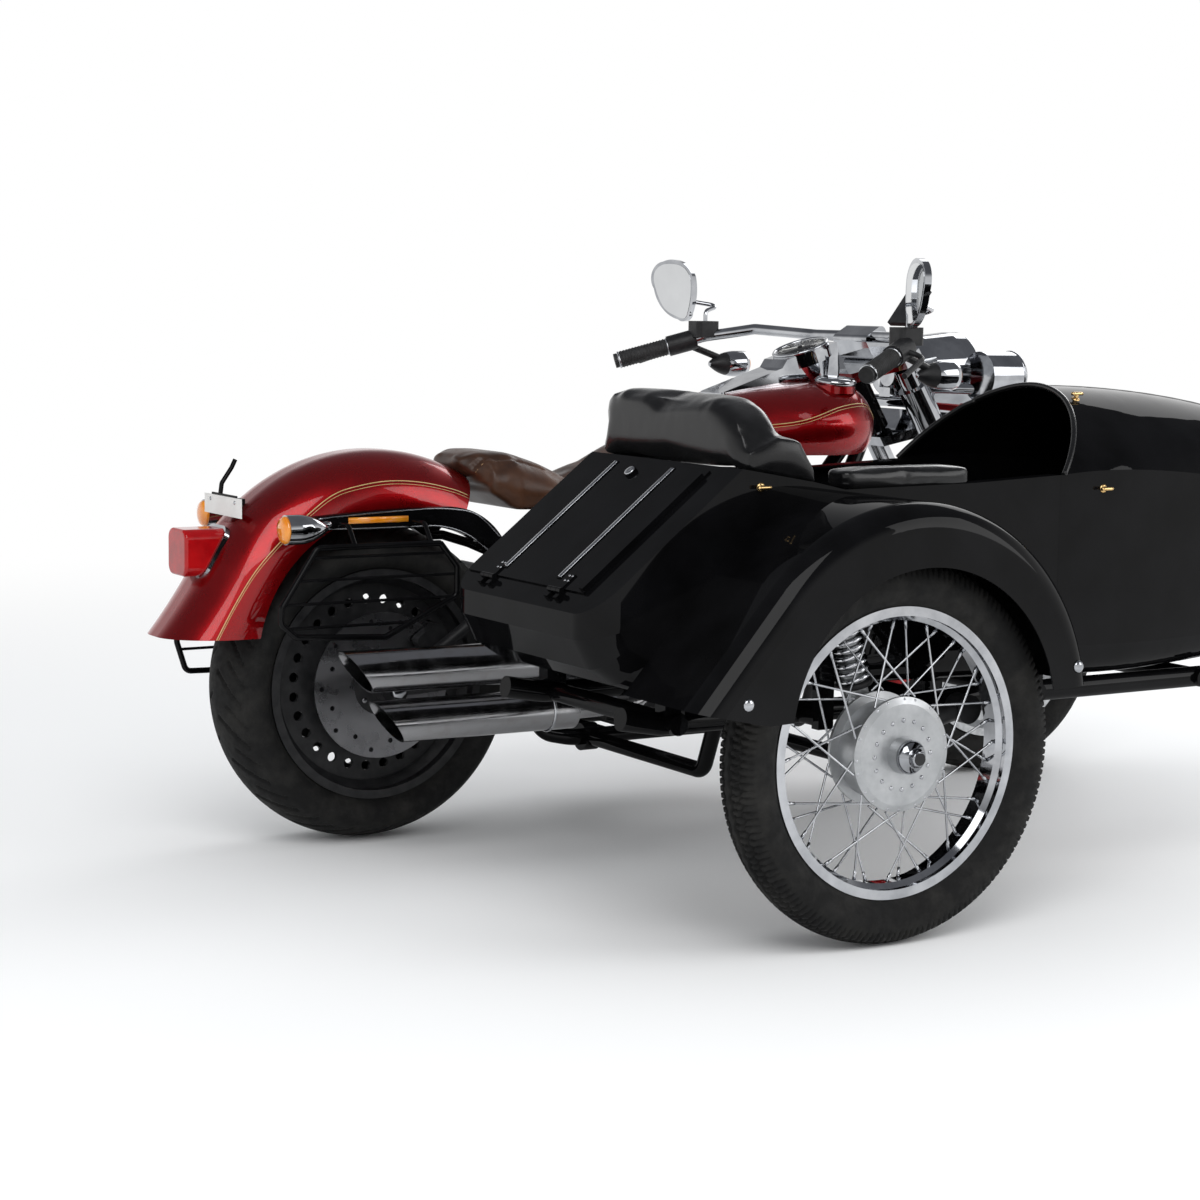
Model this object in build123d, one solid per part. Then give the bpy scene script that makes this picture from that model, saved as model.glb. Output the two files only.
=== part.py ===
"""Sidecar motorcycle: a V-twin cruiser with a single-seat sidecar on its right.

Working axes: X forward from the rear axle, Y left of the motorcycle's centre plane, Z up
from a datum DATUM_Z above the floor, in millimetres.  Every solid is moved by ROW_SHIFT as it
is written, so that the row's origin is on the floor under the middle of the whole vehicle.
"""
import os
from math import asin, atan2, cos, degrees, pi, radians, sin, sqrt, tan

from build123d import *

DATUM_Z = 7.0
ROW_SHIFT = (-746.0, 400.5, DATUM_Z)

# ---- Wheels -------------------------------------------------------------------------------
WHEELBASE = 1635.0
SIDECAR_TRACK = 1218.0
SIDECAR_LEAD = 413.0
REAR_TYRE_R, REAR_TYRE_W = 322.0, 200.0
FRONT_TYRE_R, FRONT_TYRE_W = 319.0, 136.0
SIDECAR_TYRE_R, SIDECAR_TYRE_W = 336.0, 92.0
REAR_AXLE = (0.0, 0.0, REAR_TYRE_R - DATUM_Z)
FRONT_AXLE = (WHEELBASE, 0.0, FRONT_TYRE_R - DATUM_Z)
SIDECAR_AXLE = (SIDECAR_LEAD, -SIDECAR_TRACK, SIDECAR_TYRE_R - DATUM_Z)
AXLE_R = 11.0
RUN_CLEARANCE = 0.08          # radial, between an axle and its hub
SEAT_GAP = 0.3                # between curved faces that sit on each other

# ---- Steering -----------------------------------------------------------------------------
RAKE = 31.0
TRAIL = 147.0
STEER_FOOT_X = WHEELBASE + TRAIL         # where the steering axis meets the datum
FORK_HALF_SPACING = 118.0
FORK_OFFSET = 62.0                       # of the fork tubes ahead of the steering axis
STEM_R = 14.0
HEAD_R = 32.0
HEAD_LOW_Z, HEAD_TOP_Z = 806.0, 916.0

# ---- Sidecar body -------------------------------------------------------------------------
BODY_TO_WHEEL = 132.0         # from the body's right side to the middle of its wheel
BODY_WIDTH = 498.0
BODY_Y_RIGHT = -SIDECAR_TRACK + BODY_TO_WHEEL
BODY_Y_LEFT = BODY_Y_RIGHT + BODY_WIDTH
BODY_MID_Y = (BODY_Y_LEFT + BODY_Y_RIGHT) / 2
BODY_HALF_W = (BODY_Y_LEFT - BODY_Y_RIGHT) / 2
BODY_WALL = 4.0
BELLY_R = 58.0
DECK_LOW = (-109.0, 574.0)               # X, Z of the boot deck's rear edge
DECK_HIGH = (190.0, 812.0)               # and of its front edge, behind the seat
COAMING = ((340.0, 786.0), (407.0, 771.0), (700.0, 775.0))
ARCH_FOOT = (907.0, 784.0)               # where the cowl's arch meets the sides
ARCH_CREST = (1038.0, 935.0)
BULKHEAD_X = 215.0


def steer_x(z):
    """X of the steering axis at height z."""
    return STEER_FOOT_X - z * tan(radians(RAKE))


def block(x0, x1, y0, y1, z0, z1):
    return Pos((x0 + x1) / 2, (y0 + y1) / 2, (z0 + z1) / 2) * Box(x1 - x0, abs(y1 - y0), z1 - z0)


def bar(start, end, radius):
    """A straight round bar between two points."""
    a, b = Vector(*start), Vector(*end)
    return Solid.make_cylinder(radius, (b - a).length, Plane(origin=a, z_dir=b - a))


def tube(points, radius, bend):
    """A round tube along straight runs joined by arcs of radius bend."""
    path = FilletPolyline(*points, radius=bend)
    return sweep(Plane(origin=path @ 0, z_dir=path % 0) * Circle(radius), path=path)


def mirrored(solid):
    """The solid's twin on the other side of the motorcycle's centre plane."""
    return mirror(solid, about=Plane.XZ)


def both(solid):
    return [solid, mirrored(solid)]


def turned(centre, outline):
    """A ring about the Y axis through centre; outline points are (radius, y)."""
    face = make_face(Polyline(*outline, close=True))
    return revolve(Pos(*centre) * face, Axis(centre, (0, 1, 0)), 360)


def tyre(centre, radius, width, seat_r, flange_h, bead_half):
    """A tyre whose beads sit on a rim's seats, between flanges of height flange_h."""
    bead_r, low_r = seat_r + SEAT_GAP, seat_r + flange_h + 1.0
    shoulder_r, shoulder_y = radius - 0.13 * width, 0.40 * width
    mid_r = (low_r + shoulder_r) / 2
    outline = (
        Line((bead_r, -bead_half), (low_r, -bead_half))
        + ThreePointArc((low_r, -bead_half), (mid_r, -width / 2), (shoulder_r, -shoulder_y))
        + ThreePointArc((shoulder_r, -shoulder_y), (radius, 0), (shoulder_r, shoulder_y))
        + ThreePointArc((shoulder_r, shoulder_y), (mid_r, width / 2), (low_r, bead_half))
        + Line((low_r, bead_half), (bead_r, bead_half))
        + Line((bead_r, bead_half), (bead_r, -bead_half))
    )
    return revolve(Pos(*centre) * make_face(outline), Axis(centre, (0, 1, 0)), 360)


def fuse(first, *others):
    whole = first
    for other in others:
        whole = whole + other
    return whole


def in_order(solids):
    return [s for shape in solids for s in shape.solids()]


# ---- Wheels: one function per wheel -------------------------------------------------------
REAR_RIM = dict(seat_r=222.0, flange_h=12.0, half_w=80.0, lip=5.0)
FRONT_RIM = dict(seat_r=224.0, flange_h=12.0, half_w=52.0, lip=5.0)
HOLE_RING_R, HOLE_COUNT, HOLE_R = 171.0, 27, 10.0
DISC_FACE_Y = 42.0            # of a pressed wheel's web, from the wheel's middle
WEB_T = 8.0
HUB_R = 52.0


def pressed_wheel(centre, rim, hub_half):
    """A drop-centre rim closed by a dished web with a ring of round holes."""
    seat_r, half_w, lip = rim["seat_r"], rim["half_w"], rim["lip"]
    flange_r = seat_r + rim["flange_h"]
    well_r = seat_r - 16
    ring = turned(centre, [
        (flange_r, -half_w), (flange_r, -half_w + lip), (seat_r, -half_w + lip),
        (seat_r, -half_w + 22), (well_r, -half_w + 34), (well_r, half_w - 34),
        (seat_r, half_w - 22), (seat_r, half_w - lip), (flange_r, half_w - lip),
        (flange_r, half_w), (seat_r - lip, half_w), (seat_r - lip, half_w - 22),
        (well_r - lip, half_w - 36), (well_r - lip, -half_w + 36),
        (seat_r - lip, -half_w + 22), (seat_r - lip, -half_w),
    ])
    web_y = min(DISC_FACE_Y, half_w - 38)
    bore = AXLE_R + RUN_CLEARANCE
    webs = turned(centre, [
        (well_r - lip + 1, -web_y), (HUB_R, -web_y - 6), (HUB_R, -hub_half),
        (bore, -hub_half), (bore, hub_half), (HUB_R, hub_half), (HUB_R, web_y + 6),
        (well_r - lip + 1, web_y), (well_r - lip + 1, web_y - WEB_T),
        (HUB_R + 6, web_y - WEB_T), (HUB_R + 6, -web_y + WEB_T),
        (well_r - lip + 1, -web_y + WEB_T),
    ])
    wheel = ring + webs
    hole = Pos(*centre) * Rot(90, 0, 0) * Pos(HOLE_RING_R, 0, 0) * Cylinder(HOLE_R, 4 * half_w)
    holes = [
        Pos(*centre) * Rot(0, 360 * i / HOLE_COUNT, 0) * Pos(*[-c for c in centre]) * hole
        for i in range(HOLE_COUNT)
    ]
    return wheel - holes


REAR_DISC_Y, REAR_DISC_R = -91.0, 148.0
FRONT_DISC_Y, FRONT_DISC_R = 70.0, 146.0
DISC_T = 5.0
DRILL_COUNT, DRILL_R = 18, 5.0
DISC_HAT_R = 60.0
CALIPER_DEPTH, CALIPER_HALF_L, PAD_GAP = 46.0, 42.0, 5.0
PULLEY_Y, PULLEY_R, PULLEY_W = 108.0, 118.0, 22.0


def brake_disc(centre, y, radius):
    """A plain disc on its hat, with a ring of round cooling holes."""
    disc = turned((centre[0], y, centre[2]), [
        (DISC_HAT_R + SEAT_GAP, -DISC_T / 2), (radius, -DISC_T / 2),
        (radius, DISC_T / 2), (DISC_HAT_R + SEAT_GAP, DISC_T / 2)])
    drills = []
    for i in range(DRILL_COUNT):
        angle = radians(360 * i / DRILL_COUNT)
        r = radius - (16 if i % 2 else 32)
        at = (centre[0] + r * cos(angle), centre[2] + r * sin(angle))
        drills.append(bar((at[0], y - 10, at[1]), (at[0], y + 10, at[1]), DRILL_R))
    return disc - drills


def caliper(centre, y, disc_r, angle, y_in, y_out):
    """A caliper that straddles the disc at an angle round its wheel, from y_in to y_out."""
    frame = Plane(origin=(centre[0], 0, centre[2]), x_dir=(cos(radians(angle)), 0, sin(radians(angle))),
                  z_dir=(0, 1, 0))
    body = block(disc_r - CALIPER_DEPTH, disc_r + 16, -CALIPER_HALF_L, CALIPER_HALF_L, y_in, y_out)
    body = fillet(body.edges().filter_by(Axis.Z), 12)
    slot = block(disc_r - CALIPER_DEPTH - 1, disc_r + 5, -CALIPER_HALF_L - 1, CALIPER_HALF_L + 1,
                 y - DISC_T / 2 - PAD_GAP, y + DISC_T / 2 + PAD_GAP)
    return frame * (body - slot)


def rear_wheel():
    rim = REAR_RIM
    wheel = pressed_wheel(REAR_AXLE, rim, 84.0)
    pulley = turned((0, PULLEY_Y, REAR_AXLE[2]), [
        (HUB_R - 12, -PULLEY_W / 2), (PULLEY_R, -PULLEY_W / 2),
        (PULLEY_R, PULLEY_W / 2), (HUB_R - 12, PULLEY_W / 2)])
    carrier = turned(REAR_AXLE, [
        (HUB_R - 20, 80), (HUB_R - 6, 80), (HUB_R - 6, 112), (HUB_R - 20, 112)])
    disc_hat = turned(REAR_AXLE, [
        (AXLE_R + RUN_CLEARANCE, -70), (DISC_HAT_R, -70), (DISC_HAT_R, REAR_DISC_Y - DISC_T / 2),
        (AXLE_R + RUN_CLEARANCE, REAR_DISC_Y - DISC_T / 2)])
    return {
        "rear_tyre": [tyre(REAR_AXLE, REAR_TYRE_R, REAR_TYRE_W, rim["seat_r"],
                           rim["flange_h"], rim["half_w"] - rim["lip"])],
        "rear_wheel_disc": [fuse(wheel, carrier, pulley, disc_hat)],
        "rear_brake_disc": [brake_disc(REAR_AXLE, REAR_DISC_Y, REAR_DISC_R)],
    }


def front_wheel():
    rim = FRONT_RIM
    wheel = pressed_wheel(FRONT_AXLE, rim, 72.0)
    hat = turned(FRONT_AXLE, [
        (AXLE_R + RUN_CLEARANCE, 60), (DISC_HAT_R, 60), (DISC_HAT_R, FRONT_DISC_Y + DISC_T / 2),
        (AXLE_R + RUN_CLEARANCE, FRONT_DISC_Y + DISC_T / 2)])
    return {
        "front_tyre": [tyre(FRONT_AXLE, FRONT_TYRE_R, FRONT_TYRE_W, rim["seat_r"],
                            rim["flange_h"], rim["half_w"] - rim["lip"])],
        "front_wheel_disc": [fuse(wheel, hat)],
        "front_brake_disc": [brake_disc(FRONT_AXLE, FRONT_DISC_Y, FRONT_DISC_R)],
    }


SPOKE_COUNT, SPOKE_R = 40, 2.0
LACED_SEAT_R, LACED_FLANGE_H, LACED_HALF_W, LACED_T = 241.0, 13.5, 30.0, 3.0
LACED_FLANGE_R = LACED_SEAT_R + LACED_FLANGE_H
HUB_FLANGE_R, HUB_FLANGE_Y, HUB_BARREL_R = 100.0, 37.5, 85.0
HUB_OUT, HUB_IN = 62.0, 50.0


def sidecar_wheel():
    centre = SIDECAR_AXLE
    bore = AXLE_R + RUN_CLEARANCE
    rim = turned(centre, [
        (LACED_FLANGE_R, -LACED_HALF_W), (LACED_FLANGE_R, -LACED_HALF_W + LACED_T),
        (LACED_SEAT_R, -LACED_HALF_W + LACED_T), (LACED_SEAT_R, -20), (LACED_SEAT_R - 9, -12),
        (LACED_SEAT_R - 9, 12), (LACED_SEAT_R, 20), (LACED_SEAT_R, LACED_HALF_W - LACED_T),
        (LACED_FLANGE_R, LACED_HALF_W - LACED_T), (LACED_FLANGE_R, LACED_HALF_W),
        (LACED_SEAT_R - LACED_T, LACED_HALF_W), (LACED_SEAT_R - LACED_T, 20),
        (LACED_SEAT_R - 9 - LACED_T, 12), (LACED_SEAT_R - 9 - LACED_T, -12),
        (LACED_SEAT_R - LACED_T, -20), (LACED_SEAT_R - LACED_T, -LACED_HALF_W),
    ])
    hub = turned(centre, [
        (bore, -HUB_OUT), (30, -HUB_OUT), (32, -HUB_FLANGE_Y - 4), (88, -HUB_FLANGE_Y - 4),
        (HUB_FLANGE_R, -HUB_FLANGE_Y), (HUB_FLANGE_R, -HUB_FLANGE_Y + 6),
        (HUB_BARREL_R, -HUB_FLANGE_Y + 9), (HUB_BARREL_R, HUB_FLANGE_Y - 9),
        (HUB_FLANGE_R, HUB_FLANGE_Y - 6), (HUB_FLANGE_R, HUB_FLANGE_Y),
        (88, HUB_FLANGE_Y + 4), (32, HUB_FLANGE_Y + 4), (30, HUB_IN), (bore, HUB_IN)])
    spokes = []
    inner_r = HUB_FLANGE_R + 2.0
    outer_r = LACED_SEAT_R - 9 - LACED_T - SEAT_GAP - 0.7
    lace = radians(34.0)
    for i in range(SPOKE_COUNT):
        side = 1 if i % 2 else -1
        lean = lace if (i // 2) % 2 else -lace
        at_rim = 2 * pi * i / SPOKE_COUNT
        at_hub = at_rim + lean
        start = (centre[0] + inner_r * cos(at_hub), centre[1] + side * (HUB_FLANGE_Y - 3),
                 centre[2] + inner_r * sin(at_hub))
        end = (centre[0] + outer_r * cos(at_rim), centre[1] + side * 7,
               centre[2] + outer_r * sin(at_rim))
        spokes.append(bar(start, end, SPOKE_R))
    return {
        "sidecar_tyre": [tyre(centre, SIDECAR_TYRE_R, SIDECAR_TYRE_W, LACED_SEAT_R,
                              LACED_FLANGE_H, LACED_HALF_W - LACED_T)],
        "sidecar_rim": [rim],
        "sidecar_hub": [hub],
        "sidecar_spokes": spokes,
    }


# ---- Fenders ------------------------------------------------------------------------------
FENDER_T = 3.0


def arc_point(centre, radius, angle):
    return (centre[0] + radius * cos(radians(angle)), centre[1] + radius * sin(radians(angle)))


def fender_band(centre, radius, skirt_r, start, end, half_w, round_r):
    """A solid band over a wheel, between two radii and two angles, its outer edges rounded."""
    middle = (start + end) / 2
    outline = (
        ThreePointArc(arc_point(centre, radius, start), arc_point(centre, radius, middle),
                      arc_point(centre, radius, end))
        + Line(arc_point(centre, radius, end), arc_point(centre, skirt_r, end))
        + ThreePointArc(arc_point(centre, skirt_r, end), arc_point(centre, skirt_r, middle),
                        arc_point(centre, skirt_r, start))
        + Line(arc_point(centre, skirt_r, start), arc_point(centre, radius, start))
    )
    band = extrude(Plane.XZ * make_face(outline), half_w, both=True)
    crown = [e for e in band.edges().filter_by(GeomType.CIRCLE)
             if abs(e.radius - radius) < 0.1]
    return fillet(crown, round_r)


def fender_shell(centre, radius, skirt_r, start, end, half_w, round_r):
    outer = fender_band(centre, radius, skirt_r, start, end, half_w, round_r)
    inner = fender_band(centre, radius - FENDER_T, skirt_r - 60, start - 12, end + 12,
                        half_w - FENDER_T, round_r - FENDER_T)
    return outer - inner


# The rear fender's crown is one arc that flares out at its tail.
REAR_FENDER_CENTRE, REAR_FENDER_R, REAR_FENDER_HALF_W = (10.5, 376.0), 410.0, 124.0
REAR_FENDER_SPAN = (60.0, 150.3)
FLARE_R, FLARE_SWEEP = 1075.0, 9.7
REAR_SKIRT_R, REAR_FENDER_ROUND = 292.0, 108.0
FRONT_FENDER_R, FRONT_FENDER_HALF_W = 350.0, 80.0
FRONT_FENDER_SPAN = (18.0, 196.0)


def rear_fender_form(inset):
    """The rear fender's outer form, or the hollow inside it, which is open below and ahead."""
    centre, radius = REAR_FENDER_CENTRE, REAR_FENDER_R - inset
    start, leave = REAR_FENDER_SPAN[0] - (15 if inset else 0), REAR_FENDER_SPAN[1]
    crown = ThreePointArc(arc_point(centre, radius, start), arc_point(centre, radius, 105),
                          arc_point(centre, radius, leave))
    heading = (-sin(radians(leave)), cos(radians(leave)))
    flare = JernArc(crown @ 1, heading, FLARE_R, -FLARE_SWEEP - (1.3 if inset else 0))
    tip = flare @ 1
    if inset:
        close = Polyline(tip, (tip.X + 200, tip.Y), centre, crown @ 0)
    else:
        skirt_x = centre[0] - sqrt(REAR_SKIRT_R ** 2 - (tip.Y - centre[1]) ** 2)
        middle = (REAR_FENDER_SPAN[0] + 166) / 2
        close = (Line(tip, (skirt_x, tip.Y))
                 + ThreePointArc((skirt_x, tip.Y), arc_point(centre, REAR_SKIRT_R, middle),
                                 arc_point(centre, REAR_SKIRT_R, start))
                 + Line(arc_point(centre, REAR_SKIRT_R, start), crown @ 0))
    half_w = REAR_FENDER_HALF_W - inset
    band = extrude(Plane.XZ * make_face(crown + flare + close), half_w, both=True)
    edges = [e for e in band.edges().filter_by(GeomType.CIRCLE) if e.radius > radius - 1]
    return fillet(edges, REAR_FENDER_ROUND - inset)


def fenders():
    rear = rear_fender_form(0) - rear_fender_form(FENDER_T)
    front = fender_shell((WHEELBASE, FRONT_AXLE[2]), FRONT_FENDER_R, 262.0, *FRONT_FENDER_SPAN,
                         FRONT_FENDER_HALF_W, 45.0)
    return {"rear_fender": [rear], "front_fender": [front]}


# Sidecar fender: one round outline that runs straight out at its tail.
GUARD_CENTRE, GUARD_R = (415.0, 383.0), 381.0
GUARD_TAIL_ANGLE, GUARD_TAIL_RUN = 138.5, 250.0
GUARD_FRONT_Z, GUARD_TAIL_Z, GUARD_LOW = 432.0, 440.0, (95.0, 411.0)
GUARD_Y_OUT, GUARD_Y_IN = -SIDECAR_TRACK - 97.0, BODY_Y_RIGHT - SEAT_GAP
GUARD_ARCH_CENTRE, GUARD_ARCH_R = (423.0, 375.0), 281.0
GUARD_ROUND = 46.0


def guard_outline(inset, drop):
    radius = GUARD_R - inset
    front_z = GUARD_FRONT_Z - drop
    dz = front_z - GUARD_CENTRE[1]
    front = (GUARD_CENTRE[0] + sqrt(radius ** 2 - dz ** 2), front_z)
    leave = arc_point(GUARD_CENTRE, radius, GUARD_TAIL_ANGLE)
    top = arc_point(GUARD_CENTRE, radius, 80)
    run = (-sin(radians(GUARD_TAIL_ANGLE)), cos(radians(GUARD_TAIL_ANGLE)))
    length = (leave[1] - GUARD_TAIL_Z + drop) / -run[1]
    tail = (leave[0] + run[0] * length, leave[1] + run[1] * length)
    low = (GUARD_LOW[0], GUARD_LOW[1] - drop)
    return make_face(ThreePointArc(front, top, leave) + Polyline(leave, tail, low, front))


def sidecar_fender():
    def form(inset, drop, y_out, y_in):
        face = Plane.XZ * guard_outline(inset, drop)
        solid = Pos(0, y_in, 0) * extrude(face, y_in - y_out)
        rim = [e for e in solid.edges() if abs(e.center().Y - y_out) < 0.01
               and e.center().Z > GUARD_FRONT_Z + 20]
        return fillet(rim, GUARD_ROUND - inset)
    outer = form(0, 0, GUARD_Y_OUT, GUARD_Y_IN)
    inner = form(FENDER_T, 40, GUARD_Y_OUT + FENDER_T, GUARD_Y_IN + 20)
    arch = Pos(GUARD_ARCH_CENTRE[0], GUARD_Y_OUT, GUARD_ARCH_CENTRE[1]) * Rot(90, 0, 0) * Cylinder(
        GUARD_ARCH_R, 160)
    return {"sidecar_fender": [outer - inner - arch]}


# ---- Sidecar body -------------------------------------------------------------------------
NOSE = (  # x, half width, belly z, side top z, crown z, belly corner radius
    (900.0, BODY_HALF_W, 408.0, 784.0, 934.0, BELLY_R),
    (1250.0, BODY_HALF_W - 4, 406.0, 778.0, 930.0, BELLY_R),
    (1600.0, 200.0, 440.0, 735.0, 868.0, 54.0),
    (1840.0, 112.0, 515.0, 675.0, 745.0, 40.0),
    (1915.0, 44.0, 575.0, 630.0, 658.0, 20.0),
)
TUB_TAIL = ((-109.0, 530.0), (-80.0, 478.0), (-34.0, 448.0), (22.0, 430.0))


def nose_section(x, half_w, low, side_top, crown, corner, inset):
    w, z0, z1, z2 = half_w - inset, low + inset, side_top, crown - inset
    r = corner - inset / 2
    k = r * (1 - cos(pi / 4))
    outline = (
        Line((-w + r, z0), (w - r, z0))
        + ThreePointArc((w - r, z0), (w - k, z0 + k), (w, z0 + r))
        + Line((w, z0 + r), (w, z1))
        + ThreePointArc((w, z1), (0, z2), (-w, z1))
        + Line((-w, z1), (-w, z0 + r))
        + ThreePointArc((-w, z0 + r), (-w + k, z0 + k), (-w + r, z0))
    )
    plane = Plane(origin=(x, BODY_MID_Y, 0), x_dir=(0, 1, 0), z_dir=(1, 0, 0))
    return plane * make_face(outline)


def cowl_form(inset):
    """The cowl's outer form, or the hollow inside its wall, which is open at the rear."""
    first, last = 0, len(NOSE) - 1
    sections = []
    for i, (x, *sizes) in enumerate(NOSE):
        shift = SEAT_GAP - (1.0 if inset else 0.0) if i == first else 0.0
        shift -= inset if i == last else 0.0
        sections.append(nose_section(x + shift, *sizes, inset * (1.5 if i == last else 1.0)))
    return loft(sections)


def tub_form(inset):
    """The tub's outer form, or the hollow inside its wall, which is open at the front."""
    front_x = NOSE[0][0]
    top = [DECK_LOW, DECK_HIGH, *COAMING, (front_x, ARCH_FOOT[1])]
    side = make_face(Polyline((front_x, NOSE[0][2]), *reversed(TUB_TAIL), *top, close=True))
    if inset:
        side = offset(side, -inset, kind=Kind.INTERSECTION)
    tub = Pos(0, BODY_MID_Y, 0) * extrude(Plane.XZ * side, BODY_HALF_W - inset, both=True)
    belly = [e for e in tub.edges() if abs(e.center().Y - BODY_MID_Y) > 10
             and e.center().Z < DECK_LOW[1] - 10 and e.center().X < front_x - inset - 5]
    tub = fillet(belly, BELLY_R - inset)
    if inset:
        front = max(tub.faces(), key=lambda face: face.center().X)
        tub = tub + extrude(front, 2 * inset)
    return tub


DECK_ANGLE = degrees(atan2(DECK_HIGH[1] - DECK_LOW[1], DECK_HIGH[0] - DECK_LOW[0]))
DECK = Plane(origin=(DECK_LOW[0], 0, DECK_LOW[1]),
             x_dir=(cos(radians(DECK_ANGLE)), 0, sin(radians(DECK_ANGLE))),
             z_dir=(-sin(radians(DECK_ANGLE)), 0, cos(radians(DECK_ANGLE))))
LID_S = (45.0, 366.0)                    # from the deck's rear edge, up the slope
LID_Y = (BODY_Y_LEFT - 12.0, BODY_Y_RIGHT + 80.0)
LID_T = 3.0
LID_LAP = 18.0                           # of the lid over the edge of the boot's mouth
COAMING_FLANGE = 34.0
SEAT_BOARD_Z, SEAT_BOARD_T, SEAT_FRONT_X = 486.0, 12.0, 640.0


def on_deck(s0, s1, y0, y1, h0, h1):
    return DECK * block(s0, s1, y0, y1, h0, h1)


def sidecar_body():
    tub = tub_form(0) - tub_form(BODY_WALL)
    inside = tub_form(BODY_WALL / 2)
    low_z = NOSE[0][2]
    bulkhead = block(BULKHEAD_X, BULKHEAD_X + BODY_WALL, BODY_Y_RIGHT, BODY_Y_LEFT,
                     low_z, DECK_HIGH[1])
    board = block(BULKHEAD_X, SEAT_FRONT_X, BODY_Y_RIGHT, BODY_Y_LEFT,
                  SEAT_BOARD_Z, SEAT_BOARD_Z + SEAT_BOARD_T)
    riser = block(SEAT_FRONT_X - SEAT_BOARD_T, SEAT_FRONT_X, BODY_Y_RIGHT, BODY_Y_LEFT,
                  low_z, SEAT_BOARD_Z + 2)
    mouth = block(BULKHEAD_X + BODY_WALL, NOSE[0][0] + 10, BODY_Y_RIGHT + COAMING_FLANGE,
                  BODY_Y_LEFT - COAMING_FLANGE, COAMING[1][1] - 20, DECK_HIGH[1] + 20)
    boot_mouth = on_deck(LID_S[0] + LID_LAP, LID_S[1] - LID_LAP, LID_Y[1] + LID_LAP,
                         LID_Y[0] - LID_LAP, -20, 20)
    tub = fuse(tub, bulkhead & inside, board & inside, riser & inside) - mouth - boot_mouth
    # the cowl is cut back along a line that leans forward from the sides to its crest
    lean = atan2(ARCH_CREST[1] - ARCH_FOOT[1], ARCH_CREST[0] - ARCH_FOOT[0])
    far = (ARCH_CREST[0] + 200 * cos(lean), ARCH_CREST[1] + 200 * sin(lean))
    back_x = NOSE[0][0] - 20
    behind_arch = make_face(Polyline((back_x, ARCH_FOOT[1]), ARCH_FOOT, far, (back_x, far[1]),
                                     close=True))
    cowl = cowl_form(0) - cowl_form(BODY_WALL)
    cowl = cowl - Pos(0, BODY_MID_Y, 0) * extrude(Plane.XZ * behind_arch, 400, both=True)
    return {"sidecar_body": [fuse(tub, *lid_hinge_mounts()), cowl]}


HINGE_S, HINGE_H, HINGE_R = 36.0, 9.0, 5.0
HINGE_Y = (BODY_Y_LEFT - 106.0, BODY_Y_RIGHT + 155.0)
HINGE_KNUCKLE = 34.0
STRIP_Y = (BODY_Y_LEFT - 120.0, BODY_Y_RIGHT + 189.0)
LOCK_S, LOCK_Y = 337.0, BODY_Y_LEFT - 199.0


def boot_lid():
    lid = on_deck(*LID_S, LID_Y[1], LID_Y[0], SEAT_GAP, SEAT_GAP + LID_T)
    top = SEAT_GAP + LID_T
    for y in STRIP_Y:
        lid = lid + on_deck(LID_S[0] + 20, LID_S[1] - 4, y - 6, y + 6, top - 1, top + 2)
    lid = lid + on_deck(LID_S[0] + 4, LID_S[1] - 14, LID_Y[1] + 2, LID_Y[1] + 14, top - 1, top + 6)
    lock = DECK * (Pos(LOCK_S, LOCK_Y, SEAT_GAP + 3.5) * Cylinder(12, 7))
    lid = lid + lock
    for y in HINGE_Y:
        leaf = on_deck(HINGE_S, LID_S[0] + 34, y - HINGE_KNUCKLE / 4, y + HINGE_KNUCKLE / 4,
                       top - 0.5, top + 3)
        knuckle = DECK * (Pos(HINGE_S, y, HINGE_H) * Rot(90, 0, 0)
                          * Cylinder(HINGE_R, HINGE_KNUCKLE / 2))
        lid = fuse(lid, leaf, knuckle)
    return {"boot_lid": [lid]}


def lid_hinge_mounts():
    """The body's halves of the hinges: two ears each, and the foot they stand on."""
    mounts = []
    for y in HINGE_Y:
        for side in (-1, 1):
            centre = y + side * (HINGE_KNUCKLE / 4 + 6 + 1)
            ear = DECK * (Pos(HINGE_S, centre, HINGE_H) * Rot(90, 0, 0) * Cylinder(HINGE_R, 12))
            foot = on_deck(HINGE_S - 16, HINGE_S + 2, centre - 6, centre + 6, 0, HINGE_H - 2)
            mounts.append(ear + foot)
    return mounts


# ---- Sidecar seats ------------------------------------------------------------------------
BACKREST_X, BACKREST_TOP_Z = (206.0, 300.0), 934.0
WING_W, WING_FRONT_X = 66.0, 356.0
ARMREST_X, ARMREST_H = (400.0, 690.0), 30.0
CUSHION_H, SQUAB_T = 110.0, 62.0


def coaming_z(x):
    """Height of the cockpit's edge behind the armrest."""
    (x0, z0), (x1, z1) = DECK_HIGH, COAMING[0]
    if x > x1:
        (x0, z0), (x1, z1) = COAMING[:2]
    return z0 + (z1 - z0) * (x - x0) / (x1 - x0)


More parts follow.
